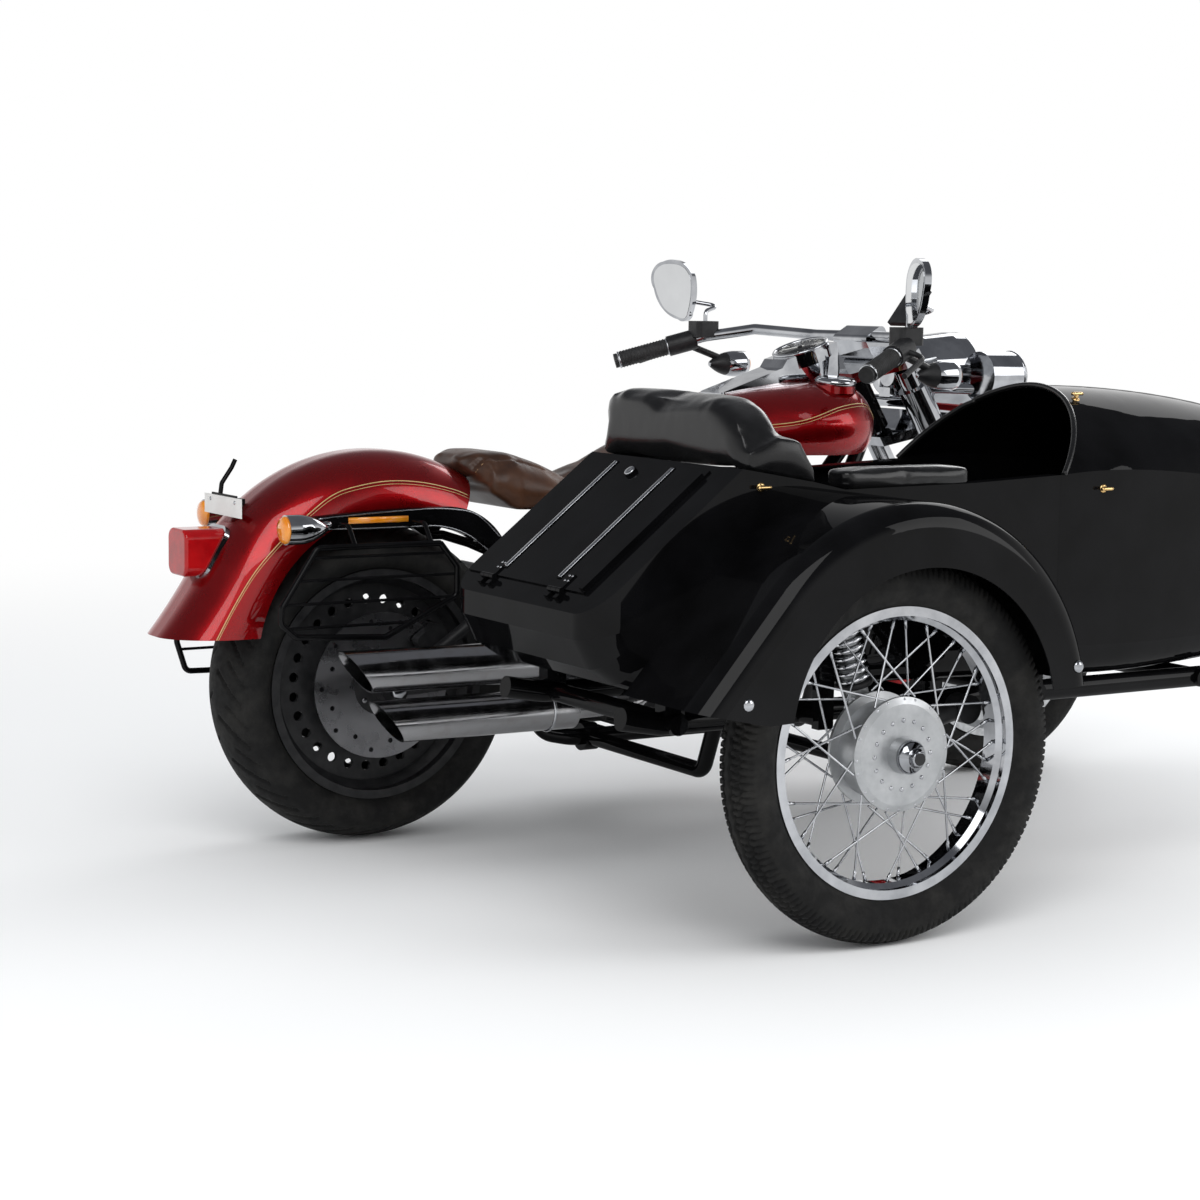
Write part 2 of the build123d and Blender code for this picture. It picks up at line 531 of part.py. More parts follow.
def sidecar_upholstery():
    inner_r, inner_l = BODY_Y_RIGHT + BODY_WALL, BODY_Y_LEFT - BODY_WALL
    board_top = SEAT_BOARD_Z + SEAT_BOARD_T
    squab_x = BULKHEAD_X + BODY_WALL + SEAT_GAP
    squab_top = DECK_HIGH[1]
    cushion = block(squab_x + SQUAB_T + 4, SEAT_FRONT_X - 4, inner_r + 14, inner_l - 14,
                    board_top + SEAT_GAP, board_top + CUSHION_H)
    cushion = fillet(cushion.edges().filter_by(Axis.Z), 40)
    cushion = fillet(cushion.faces().sort_by(Axis.Z)[-1].edges(), 30)
    squab = block(squab_x, squab_x + SQUAB_T, inner_r + WING_W + 8, inner_l - WING_W - 8,
                  board_top + SEAT_GAP, squab_top)
    # the roll wraps the rear of the cockpit and runs forward and down along both coamings
    low, high = squab_top + SEAT_GAP, BACKREST_TOP_Z
    right, left = BODY_Y_RIGHT + 14, BODY_Y_LEFT - 10
    across = make_face(
        Polyline((left, low), (right, low), (right, low + 24))
        + ThreePointArc((right, low + 24), (right + 40, high - 36), (right + 122, high))
        + Line((right + 122, high), (left - 46, high + 2))
        + ThreePointArc((left - 46, high + 2), (left - 12, high - 14), (left, high - 52))
        + Line((left, high - 52), (left, low)))
    back = Plane(origin=(BACKREST_X[0], 0, 0), x_dir=(0, 1, 0), z_dir=(1, 0, 0)) * extrude(
        across, BACKREST_X[1] - BACKREST_X[0])
    front_edges = [e for e in back.edges() if abs(e.center().X - BACKREST_X[1]) < 0.1
                   and e.center().Z > low + 1]
    back = fillet(front_edges, 30)
    wings = []
    for y, top in ((right - 10, 862.0), (left - WING_W + 6, 900.0)):
        side = make_face(Polyline(
            (BACKREST_X[0], coaming_z(BACKREST_X[0]) + 1), (COAMING[0][0], COAMING[0][1] + 1),
            (WING_FRONT_X, coaming_z(WING_FRONT_X) + 1), (WING_FRONT_X - 2, 806), (318, top),
            (BACKREST_X[1] - 30, top + 8), (BACKREST_X[0], low + 30), close=True))
        wings.append(Pos(0, y + WING_W, 0) * extrude(Plane.XZ * side, WING_W))
    backrest = fuse(back, *wings)
    rest_z = COAMING[2][1] + SEAT_GAP
    armrest = block(*ARMREST_X, BODY_Y_RIGHT - 6, BODY_Y_RIGHT + 62, rest_z, rest_z + ARMREST_H)
    armrest = fillet(armrest.edges().filter_by(Axis.Z), 20)
    armrest = fillet(armrest.faces().sort_by(Axis.Z)[-1].edges(), 10)
    return {"sidecar_seat": [cushion], "sidecar_squab": [squab], "sidecar_backrest": [backrest],
            "sidecar_armrest": [armrest]}


# ---- Sidecar chassis, suspension and struts -----------------------------------------------
RAIL_R = 20.0
RAIL_Z = 376.0
RAIL_Y = (BODY_Y_LEFT - 52.0, BODY_Y_RIGHT + 46.0)
RAIL_REAR_X, RAIL_FRONT_X = -20.0, 1360.0
SPIGOT_R, SPIGOT_L = 16.0, 60.0
CROSS_X = (80.0, 640.0, 880.0, 1300.0)
PAD_X = CROSS_X[:3]
SWING_PIVOT = (640.0, -SIDECAR_TRACK + 78.0, RAIL_Z)
SWING_EYE = 40.0
SHOCK_TOP = (352.0, -SIDECAR_TRACK + 72.0, 590.0)
SHOCK_LOW = (404.0, -SIDECAR_TRACK + 72.0, 392.0)


def belly_z(x):
    """Height of the tub's belly at x, ahead of its tail."""
    (x0, z0), (x1, z1) = TUB_TAIL[3], (NOSE[0][0], NOSE[0][2])
    return z0 + (z1 - z0) * (x - x0) / (x1 - x0)


def sidecar_chassis():
    rails = [tube([(RAIL_REAR_X, y, RAIL_Z + 14), (RAIL_REAR_X + 80, y, RAIL_Z),
                   (RAIL_FRONT_X, y, RAIL_Z)], RAIL_R, 60) for y in RAIL_Y]
    spigots = [bar((RAIL_FRONT_X - 5, y, RAIL_Z), (RAIL_FRONT_X + SPIGOT_L, y, RAIL_Z), SPIGOT_R)
               for y in RAIL_Y]
    ends = (RAIL_Y[1] - 30, SWING_PIVOT[1] + SWING_EYE / 2 + SEAT_GAP,
            RAIL_Y[1] - 30, RAIL_Y[1] - 30)
    crosses = [bar((x, end, RAIL_Z), (x, RAIL_Y[0] + 30, RAIL_Z), RAIL_R - 2)
               for x, end in zip(CROSS_X, ends)]
    pads = [block(x - 20, x + 20, y - 16, y + 16, RAIL_Z, belly_z(x + 20) - SEAT_GAP)
            for x in PAD_X for y in RAIL_Y]
    shock_x, shock_y, shock_z = SHOCK_TOP
    post = block(shock_x - 16, shock_x + 16, shock_y + 26, shock_y + 46, RAIL_Z - 20, shock_z + 16)
    arm = bar((shock_x, RAIL_Y[1], RAIL_Z), (shock_x, shock_y + 40, RAIL_Z), RAIL_R - 2)
    pin = bar((shock_x, shock_y + 36, shock_z), (shock_x, shock_y - 20, shock_z), 8)
    return {"sidecar_chassis": [fuse(*rails, *spigots, *crosses, *pads, post, arm, pin)]}


def sidecar_suspension():
    axle_x, axle_y, axle_z = SIDECAR_AXLE
    inboard = SWING_PIVOT[1]
    arm = bar(SWING_PIVOT, (axle_x, inboard, axle_z), 17)
    eye = bar((SWING_PIVOT[0], inboard + SWING_EYE / 2, SWING_PIVOT[2]),
              (SWING_PIVOT[0], inboard - SWING_EYE / 2, SWING_PIVOT[2]), 26)
    boss = bar((axle_x, inboard + 18, axle_z), (axle_x, axle_y + HUB_IN + 1.0, axle_z), 26)
    axle = bar((axle_x, inboard, axle_z), (axle_x, axle_y - 90, axle_z), AXLE_R)
    nut = bar((axle_x, axle_y - HUB_OUT - 1.0, axle_z), (axle_x, axle_y - HUB_OUT - 18, axle_z), 17)
    lug = block(SHOCK_LOW[0] - 14, SHOCK_LOW[0] + 14, inboard - 8, inboard + 8, axle_z,
                SHOCK_LOW[2] - 12)
    top, low = Vector(*SHOCK_TOP), Vector(*SHOCK_LOW)
    run = (low - top).normalized()
    eye_r, gap = 12.0, 8.0 + SEAT_GAP
    spring = [bar(tuple(top + run * a), tuple(top + run * b), r) for a, b, r in (
        (14, 40, 20), (40, 150, 12), (150, 188, 22))]
    coils = [bar(tuple(top + run * (42 + 12 * i)), tuple(top + run * (48 + 12 * i)), 22)
             for i in range(9)]
    ring = bar((top.X, top.Y + 12, top.Z), (top.X, top.Y - 12, top.Z), 18) - bar(
        (top.X, top.Y + 13, top.Z), (top.X, top.Y - 13, top.Z), gap)
    foot = bar(tuple(low - run * 16), tuple(low + run * 12), eye_r)
    shock = fuse(*spring, *coils, ring, foot)
    shock = shock - lug
    return {"sidecar_swingarm": [fuse(arm, eye, boss, axle, nut, lug)], "sidecar_shock": [shock]}


# ---- Motorcycle frame ---------------------------------------------------------------------
FRAME_TUBE_R = 17.0
CRADLE_HALF_W = 118.0
CRADLE_Z = 178.0
SEAT_POST_X = 350.0
BACKBONE_R = 24.0
UPRIGHT_LOW, UPRIGHT_TOP = (352.0, -74.0, 300.0), (350.0, -70.0, 560.0)
DOWNTUBE_TOP = (WHEELBASE - 485.0, -60.0, 640.0)
DOWNTUBE_LOW = (WHEELBASE - 560.0, -CRADLE_HALF_W, 240.0)
TANK_REST, SEAT_RAIL_R = (960.0, 834.0), 10.0
PIVOT_X, PIVOT_Z, PIVOT_R = 352.0, 330.0, 12.0
SWING_AXLE_Y = 138.0
STAND_PIVOT = (560.0, 158.0, CRADLE_Z)
STAND_REACH, STAND_EYE_W, STAND_PIN_R = 172.0, 24.0, 8.0


def head_line(z, offset_x=0.0, y=0.0):
    """A point at height z on a line beside the steering axis, offset_x ahead of it."""
    return (steer_x(z) + offset_x / cos(radians(RAKE)), y, z)


def bike_frame():
    head = bar(head_line(HEAD_LOW_Z), head_line(HEAD_TOP_Z), HEAD_R)
    backbone = tube([head_line(856), (900, 0, 830), (640, 0, 716), (470, 0, 652),
                     (400, 0, 606), (SEAT_POST_X, 0, 560)], BACKBONE_R, 50)
    pieces = [head, backbone]
    for side in (1, -1):
        y = side * CRADLE_HALF_W
        inner_y = -side * UPRIGHT_LOW[1]
        pieces.append(tube([
            head_line(838, y=side * 12), (DOWNTUBE_TOP[0], -side * DOWNTUBE_TOP[1], DOWNTUBE_TOP[2]),
            (DOWNTUBE_LOW[0], y, DOWNTUBE_LOW[2]), (DOWNTUBE_LOW[0] - 65, y, CRADLE_Z),
            (430, y, CRADLE_Z), (380, inner_y, CRADLE_Z + 8), (UPRIGHT_LOW[0], inner_y, UPRIGHT_LOW[2]),
            (UPRIGHT_TOP[0], -side * UPRIGHT_TOP[1], UPRIGHT_TOP[2]), (SEAT_POST_X + 20, side * 10, 590),
        ], FRAME_TUBE_R, 38))
        pieces.append(bar((PIVOT_X, inner_y - side * 14, PIVOT_Z), (PIVOT_X, y + side * 17, PIVOT_Z), 28))
        # seat rail, which ends on the inner side of the fender strut
        strut_y = side * (REAR_FENDER_HALF_W - SEAT_RAIL_R)
        pieces.append(tube([(UPRIGHT_TOP[0], side * 75, 550), (300, side * 98, 574),
                            (244, strut_y, 592), (208, strut_y, 592)], SEAT_RAIL_R, 24))
    for x in (520, DOWNTUBE_LOW[0] - 85):
        pieces.append(bar((x, -CRADLE_HALF_W, CRADLE_Z), (x, CRADLE_HALF_W, CRADLE_Z), 15))
    rest_y = TANK_TUNNEL - SEAT_GAP
    pieces.append(bar((TANK_REST[0], -rest_y, TANK_REST[1]), (TANK_REST[0], rest_y, TANK_REST[1]), 9))
    x, y, z = STAND_PIVOT
    pieces.append(bar((x, CRADLE_HALF_W, z), (x, y - SEAT_GAP, z), 14))
    pieces.append(bar((x, y - 5, z), (x, y + STAND_EYE_W + 5, z), STAND_PIN_R))
    bore = bar(head_line(HEAD_LOW_Z - 20), head_line(HEAD_TOP_Z + 20), STEM_R + RUN_CLEARANCE)
    pivot_bore = bar((PIVOT_X, -200, PIVOT_Z), (PIVOT_X, 200, PIVOT_Z), PIVOT_R + SEAT_GAP)
    return {"bike_frame": [fuse(*pieces) - bore - pivot_bore]}


def swingarm():
    legs = []
    outer_y, axle_y = CRADLE_HALF_W + 35.0, SWING_AXLE_Y
    top = (304.0, axle_y, 520.0)
    for side in (1, -1):
        legs.append(tube([(PIVOT_X + 6, side * outer_y, PIVOT_Z), (230, side * outer_y, PIVOT_Z),
                          (60, side * axle_y, REAR_AXLE[2]), (0, side * axle_y, REAR_AXLE[2])],
                         16, 50))
        legs.append(bar((top[0], side * top[1], top[2]), (0, side * axle_y, REAR_AXLE[2]), 13))
        legs.append(bar((0, side * 122, REAR_AXLE[2]), (0, side * 156, REAR_AXLE[2]), 30))
        legs.append(bar((PIVOT_X, side * (outer_y - 16), PIVOT_Z),
                        (PIVOT_X, side * (outer_y + 16), PIVOT_Z), 24))
    cross = bar((PIVOT_X, -outer_y, PIVOT_Z), (PIVOT_X, outer_y, PIVOT_Z), PIVOT_R)
    upper = bar((top[0], -top[1], top[2]), top, 13)
    axle = bar((0, -165, REAR_AXLE[2]), (0, 165, REAR_AXLE[2]), AXLE_R)
    brake = caliper(REAR_AXLE, REAR_DISC_Y, REAR_DISC_R, 34, -axle_y + 13 + SEAT_GAP, REAR_DISC_Y + 21)
    return {"swingarm": [fuse(cross, upper, *legs, axle), brake]}


# ---- Engine -------------------------------------------------------------------------------
CRANK = (700.0, 0.0, 318.0)
BANK_ANGLE = 22.5
CYLINDER_R, FIN_R, FIN_COUNT = 56.0, 74.0, 9
CASE_R, CASE_HALF_W, CAM_R = 128.0, 95.0, 96.0
HEAD_BASE, HEAD_HALF_W = 298.3, 84.0     # of the rocker covers, from the crankshaft
PRIMARY_Y, PRIMARY_W = 116.0, 50.0
INTAKE_Z = 590.0
MOUNT_X = (540.0, 700.0)
SPROCKET_X, SPROCKET_R = 470.0, 38.0
BELT_W, BELT_T = 12.0, 6.0
PORT_REACH = 255.0            # of the exhaust ports, from the crankshaft
PORTS = [(CRANK[0] + side * PORT_REACH * sin(radians(BANK_ANGLE)),
          CRANK[2] + PORT_REACH * cos(radians(BANK_ANGLE))) for side in (-1, 1)]


def engine():
    cx, _, cz = CRANK
    case = Pos(cx, 0, cz) * Rot(90, 0, 0) * Cylinder(CASE_R, 2 * CASE_HALF_W)
    sump = block(cx - 190, cx + 96, -92, 92, 212, 330)
    gearbox = fillet(block(396, 560, -92, 92, 214, 430).edges().filter_by(Axis.Y), 28)
    sprocket = bar((SPROCKET_X, 80, REAR_AXLE[2]), (SPROCKET_X, PRIMARY_Y - SEAT_GAP, REAR_AXLE[2]),
                   SPROCKET_R)
    case = fuse(case, sump, gearbox, sprocket)
    rest_z = CRADLE_Z + FRAME_TUBE_R + SEAT_GAP
    for x in MOUNT_X:
        case = fuse(case, block(x, x + 28, -CRADLE_HALF_W, CRADLE_HALF_W, rest_z, rest_z + 7),
                    block(x, x + 28, -80, 80, rest_z, 220))
    oil_tank = fillet(block(404, 492, -112, 112, 430 + SEAT_GAP, 584).edges().filter_by(Axis.Y), 26)
    cylinders, heads, pushrods = [], [], []
    for side in (-1, 1):
        lean = radians(BANK_ANGLE) * side
        axis = (sin(lean), 0, cos(lean))
        plane = Plane(origin=CRANK, x_dir=(cos(lean), 0, -sin(lean)), z_dir=axis)
        barrel = Pos(0, 0, 210) * Cylinder(CYLINDER_R, 176)
        for i in range(FIN_COUNT):
            barrel = barrel + Pos(0, 0, 142 + i * 18) * Cylinder(FIN_R, 7)
        cylinders.append(plane * barrel - Pos(cx, 0, cz) * Rot(90, 0, 0) * Cylinder(
            CASE_R + SEAT_GAP, 200))
        cover = Pos(0, 0, HEAD_BASE + 28) * Box(124, 2 * HEAD_HALF_W, 56)
        cover = cover + Pos(0, 0, HEAD_BASE + 56) * Box(104, 2 * HEAD_HALF_W - 28, 16)
        heads.append(plane * fillet(cover.edges().filter_by(Axis.Z), 16))
        for across in (-1, 1):
            rod = bar((across * 20, -112, CAM_R + 2.5), (across * 46, -72, HEAD_BASE - 2.2), 8)
            pushrods.append(plane * rod)
    primary = extrude(Plane.XZ * (Pos(cx - 86, cz - 10) * SlotOverall(440, 210)), PRIMARY_W)
    primary = Pos(0, PRIMARY_Y + PRIMARY_W, 0) * primary
    primary = fillet(primary.faces().sort_by(Axis.Y)[-1].edges(), 18)
    primary = primary + bar((cx, CASE_HALF_W + SEAT_GAP, cz), (cx, PRIMARY_Y + 5, cz), 70)
    cam = Pos(0, -CASE_HALF_W - SEAT_GAP, 0) * extrude(Plane.XZ * (Pos(cx, cz) * Circle(CAM_R)), 38)
    air = Pos(cx, -185, INTAKE_Z) * Rot(90, 0, 0) * Cylinder(70, 70)
    air = fillet(air.faces().sort_by(Axis.Y)[0].edges(), 18)
    intake_r = (INTAKE_Z - cz) * sin(radians(BANK_ANGLE)) - FIN_R - SEAT_GAP
    air = air + bar((cx, -160, INTAKE_Z), (cx, 40, INTAKE_Z), intake_r)
    return {"engine_case": [case, oil_tank], "engine_cylinders": cylinders,
            "rocker_covers": heads, "engine_covers": [primary, cam, air, *pushrods]}


def drive_belt():
    """The toothed belt as one closed band round both pulleys."""
    centre_z = REAR_AXLE[2]

    def loop(grow):
        rear, front = PULLEY_R + grow, SPROCKET_R + grow
        lean = asin((rear - front) / SPROCKET_X)
        up = (sin(lean), cos(lean))
        tangent = [(x + r * up[0], sign * r * up[1]) for x, r in ((0, rear), (SPROCKET_X, front))
                   for sign in (1, -1)]
        (a_up, a_low, b_up, b_low) = [(x, centre_z + z) for x, z in tangent]
        return make_face(Line(a_up, b_up)
                         + ThreePointArc(b_up, (SPROCKET_X + front, centre_z), b_low)
                         + Line(b_low, a_low) + ThreePointArc(a_low, (-rear, centre_z), a_up))
    band = extrude(Plane.XZ * (loop(SEAT_GAP + BELT_T) - loop(SEAT_GAP)), BELT_W / 2, both=True)
    return {"drive_belt": [Pos(0, PULLEY_Y, 0) * band]}


# ---- Tank, console, seat ------------------------------------------------------------------
TANK = (  # distance behind the head, half width, low z, side z, crown z
    (592.0, 62.0, 772.0, 806.0, 836.0),
    (472.0, 118.0, 764.0, 812.0, 868.0),
    (272.0, 168.0, 760.0, 826.0, 905.0),
    (122.0, 184.0, 760.0, 834.0, 916.0),
    (62.0, 158.0, 768.0, 836.0, 902.0),
    (36.0, 118.0, 788.0, 838.0, 868.0),
)
HEAD_X = steer_x(HEAD_TOP_Z)
TANK_REAR_X = HEAD_X - TANK[0][0]
SPEEDO = (HEAD_X - 148.6, 0.0, 990.0)
SPEEDO_R, SPEEDO_TILT = 64.0, 19.5
CAP_X, CAP_Y, CAP_R = HEAD_X - 132.0, 112.0, 44.0
TANK_TUNNEL = 44.0


def tank_section(x, half_w, low, side, crown):
    top_w = half_w * 0.42
    lower_w = half_w * 0.86
    outline = (
        Line((-lower_w, low), (lower_w, low))
        + ThreePointArc((lower_w, low), (half_w * 0.985, (low + side) / 2), (half_w, side))
        + ThreePointArc((half_w, side), (half_w * 0.80, crown - (crown - side) * 0.30),
                        (top_w, crown))
        + Line((top_w, crown), (-top_w, crown))
        + ThreePointArc((-top_w, crown), (-half_w * 0.80, crown - (crown - side) * 0.30),
                        (-half_w, side))
        + ThreePointArc((-half_w, side), (-half_w * 0.985, (low + side) / 2), (-lower_w, low))
    )
    return Plane(origin=(x, 0, 0), x_dir=(0, 1, 0), z_dir=(1, 0, 0)) * make_face(outline)


def tank():
    body = loft([tank_section(HEAD_X - back, *sizes) for back, *sizes in TANK])
    tunnel = extrude(Plane.XZ * make_face(Polyline(
        (500, 600), (500, 800), (900, 868), (1300, 882), (1300, 600), close=True)),
        TANK_TUNNEL, both=True)
    caps = [Pos(CAP_X, y, 905) * Cylinder(CAP_R, 24) for y in (-CAP_Y, CAP_Y)]
    tank_body = fuse(body - tunnel, *caps)
    x, _, z = SPEEDO
    console = extrude(Plane.XZ * make_face(Polyline(
        (x - 241, 884), (x - 241, 892), (x - 78, 946), (x - 66, 964), (x + 68, z + 14),
        (x + 84, z - 62), (x + 84, 884), close=True)), 44, both=True)
    console = fillet(console.edges().filter_by(Axis.Z), 12)
    tilt = radians(SPEEDO_TILT)
    face = Plane(origin=SPEEDO, x_dir=(cos(tilt), 0, sin(tilt)), z_dir=(-sin(tilt), 0, cos(tilt)))
    gauge = face * (Pos(0, 0, -16) * Cylinder(SPEEDO_R, 32))
    skirt = face * (Pos(0, 0, -57) * Cone(46, SPEEDO_R - 4, 50))
    console = fuse(console, skirt, gauge)
    hollow = Pos(0, 0, SEAT_GAP) * tank_body
    return {"fuel_tank": [tank_body], "tank_console": [console - tank_body - hollow]}


SEAT = (  # x, half width, low z, side z, crown z
    (178.0, 62.0, 750.7, 757.0, 765.0),
    (216.0, 112.0, 738.0, 748.0, 772.0),
    (232.0, 134.0, 700.0, 734.0, 774.0),
    (290.0, 154.0, 662.0, 716.0, 773.0),
    (362.0, 156.0, 662.0, 706.0, 751.0),
    (450.0, 140.0, 690.0, 700.0, 714.0),
    (540.0, 105.0, 712.0, 724.0, 744.0),
)


def rider_seat():
    nose = (TANK_REAR_X - 6.0, 74.0, 752.0, 770.0, 800.0)
    return {"rider_seat": [loft([tank_section(*row) for row in (*SEAT, nose)], ruled=True)]}


# ---- Rear end -----------------------------------------------------------------------------
STRUT_T = 22.0
STUDS, STUD_R, STUD_LENGTH = ((79.0, 654.0), (205.0, 606.0)), 8.0, 14.0


LAMP_Z, LAMP_HALF_W, LAMP_HALF_H = 592.0, 46.0, 46.0
LENS_REAR_X = -400.0
LAMP_PLANE = Plane(origin=(-338.5, 0, 591.5), x_dir=(0, 1, 0), z_dir=(-0.873, 0, 0.487))
LAMP_BASE_LIFT = 2.0
PLATE_X, PLATE_Z, PLATE_HALF_W, PLATE_T = -301.0, (661.0, 699.0), 91.0, 2.0
SIGNAL_REAR = (-259.0, 200.0, 647.0)
SIGNAL_LENGTH, SIGNAL_R = 88.0, 29.0


def bullet(length, radius):
    """A lamp body along +X, whose round nose is at the origin."""
    side = make_face(Polyline((0, 0), (0, 0.18 * radius)) + ThreePointArc(
        (0, 0.18 * radius), (0.30 * length, 0.74 * radius), (0.72 * length, radius))
        + Polyline((0.72 * length, radius), (length, radius), (length, 0), (0, 0)))
    return revolve(side, Axis.X, 360)


def rear_end():
    y = REAR_FENDER_HALF_W + SEAT_GAP
    skin = rear_fender_form(0)
    around = rear_fender_form(-SEAT_GAP)
    outline = make_face(
        Line((-168, 638), (-168, 664)) + ThreePointArc((-168, 664), (-22, 673), (118, 675))
        + ThreePointArc((118, 675), (192, 658), (248, 606)) + Line((248, 606), (222, 574))
        + ThreePointArc((222, 574), (172, 612), (107, 634)) + Line((107, 634), (-168, 638)))
    strut = Pos(0, y + STRUT_T, 0) * extrude(Plane.XZ * outline, STRUT_T)
    for x, z in STUDS:
        strut = strut + bar((x, y + STRUT_T - 2, z), (x, y + STRUT_T + STUD_LENGTH, z), STUD_R)
    lens = block(LENS_REAR_X, LENS_REAR_X + 120, -LAMP_HALF_W, LAMP_HALF_W,
                 LAMP_Z - LAMP_HALF_H, LAMP_Z + LAMP_HALF_H)
    lens = fillet(lens.edges().filter_by(Axis.X), 20)
    lens = fillet(lens.faces().sort_by(Axis.X)[0].edges(), 6)
    lens = lens - LAMP_PLANE * (Pos(0, 0, LAMP_BASE_LIFT - 150) * Box(400, 400, 300))
    half = (LAMP_HALF_W + 5, LAMP_HALF_H + 12)
    base = LAMP_PLANE * (Pos(0, 0, LAMP_BASE_LIFT - SEAT_GAP - 40) * fillet(
        Box(2 * half[0], 2 * half[1], 80).edges().filter_by(Axis.Z), 26))
    lamp = (base - around - skin).solids().sort_by(Axis.X)[0]
    plate = block(PLATE_X - PLATE_T, PLATE_X, -PLATE_HALF_W, PLATE_HALF_W, *PLATE_Z)
    arm_y = 30.0
    bracket = block(PLATE_X + SEAT_GAP, PLATE_X + 40, -14, 14, PLATE_Z[0] + 6, PLATE_Z[1] - 6)
    bracket = (bracket - around).solids().sort_by(Axis.X)[0]
    bracket = bracket + block(PLATE_X + SEAT_GAP, PLATE_X + 4, -60, 60, PLATE_Z[1] - 14, PLATE_Z[1] + 4)
    bracket = bracket + tube([(PLATE_X + 5, arm_y, PLATE_Z[1] - 8), (PLATE_X + 9, arm_y, 722),
                              (PLATE_X + 30, arm_y, 752), (PLATE_X + 38, arm_y, 768)], 4.5, 12)
    signals = []
    for side in (1, -1):
        x, lamp_y, z = SIGNAL_REAR[0], side * SIGNAL_REAR[1], SIGNAL_REAR[2]
        body = Pos(x + SIGNAL_LENGTH, lamp_y, z) * Rot(0, 180, 0) * bullet(SIGNAL_LENGTH, SIGNAL_R)
        stalk_x = x + 0.5 * SIGNAL_LENGTH
        bend_y = side * (y + STRUT_T + 24)
        stalk = tube([(stalk_x, lamp_y, z), (stalk_x, bend_y, 650), (stalk_x + 65, bend_y, 651),
                      (stalk_x + 65, side * (y + STRUT_T + SEAT_GAP), 651)], 7, 9)
        signals.append(body + stalk)
    return {"fender_struts": [*both(strut), bracket], "tail_lamp": [lamp], "tail_lens": [lens],
            "rear_indicators": signals, "number_plate": [plate]}


GUARD_TUBE_R, GUARD_ROD_R = 6.0, 3.0
GUARDS = (  # side, y, outline corners (x, z), rods (x from, x to, z), stand-off x
    (-1, 230.0, ((60, 613), (-206, 613), (-280, 500), (-281, 470), (-250, 443), (-60, 433), (98, 508),
                 (98, 566)), ((-219, 72, 594), (-247, 98, 551), (-276, 95, 506), (-268, -5, 460)),
     (-125, 40)),
    (1, 212.0, ((60, 600), (-196, 600), (-290, 490), (-316, 385), (-296, 322), (-120, 318), (98, 470),
                (98, 553)), ((-230, 85, 560), (-266, 98, 518), (-298, 98, 476), (-306, 30, 424),
                             (-306, -48, 368)), (-125, 40)),
)


def wheel_guards():
    guards = []
    strut_y = REAR_FENDER_HALF_W + STRUT_T + 2 * SEAT_GAP
    for side, y, corners, rods, offsets in GUARDS:
        middle = ((corners[0][0] + corners[1][0]) / 2, corners[0][1])
        path = [(x, side * y, z) for x, z in (middle, *corners[1:], corners[0], middle)]
        ring = tube(path[:-1], GUARD_TUBE_R, 16)
        ring = ring + bar(path[-2], path[-1], GUARD_TUBE_R)
        for x0, x1, z in rods:
            ring = ring + bar((x0, side * y, z), (x1, side * y, z), GUARD_ROD_R)
        for x in offsets:
            ring = ring + tube([(x, side * y, corners[0][1]), (x, side * (y - 30), 650),
                                (x, side * strut_y, 650)], GUARD_TUBE_R - 1, 16)
        guards.append(ring)
    return {"wheel_guards": guards}


MUFFLERS = ((-186.0, 380.0, 400.0, 376.0), (-120.0, 279.0, 320.0, 277.0))   # x, z to x, z
MUFFLER_Y, MUFFLER_R, MUFFLER_WALL, HEADER_R = -300.0, 42.0, 3.0, 24.0


def exhaust():
    mufflers, headers = [], []
    y = MUFFLER_Y
    for x0, z0, x1, z1 in MUFFLERS:
        outer = bar((x0 - 40, y, z0), (x1, y, z1), MUFFLER_R)
        bore = bar((x0 - 60, y, z0), (x0 + 160, y, z0), MUFFLER_R - MUFFLER_WALL)
        slash = Plane(origin=(x0 + 28, y, z0), x_dir=(0, 1, 0), z_dir=(-0.8, 0, -0.6))
        mufflers.append(outer - bore - slash * (Pos(0, 0, 100) * Box(300, 300, 200)))
    for (_, _, x, z), (port_x, port_z), corners in (
            (MUFFLERS[0], PORTS[1], ((160, 0), (370, 34))),
            (MUFFLERS[1], PORTS[0], ((140, 0), (270, 53)))):
        run = [(x + dx, y + 65 * i, z + dz) for i, (dx, dz) in enumerate(corners)]
        headers.append(tube([(x + SEAT_GAP, y, z), *run, (port_x, y + 100, port_z),
                             (port_x, -FIN_R - 0.5, port_z)], HEADER_R, 40))
    return {"mufflers": mufflers, "header_pipes": headers}


# ---- Front end ----------------------------------------------------------------------------
def fork_point(z, side=0, ahead=0.0):
    return head_line(z, FORK_OFFSET + ahead, side * FORK_HALF_SPACING)


UP_AXIS = (-sin(radians(RAKE)), 0, cos(radians(RAKE)))
CLAMP_LOW = Plane(origin=head_line(HEAD_LOW_Z - 18), x_dir=(0, 1, 0), z_dir=UP_AXIS)
CLAMP_TOP = Plane(origin=head_line(HEAD_TOP_Z + 16), x_dir=(0, 1, 0), z_dir=UP_AXIS)
COVER_R, LEG_R, FORK_TUBE_R = 34.0, 30.0, 24.0
CLAMP = ((-150, -98), (150, -98), (150, -50), (36, 20), (-36, 20), (-150, -50))
FENDER_STUD_Z = 600.0


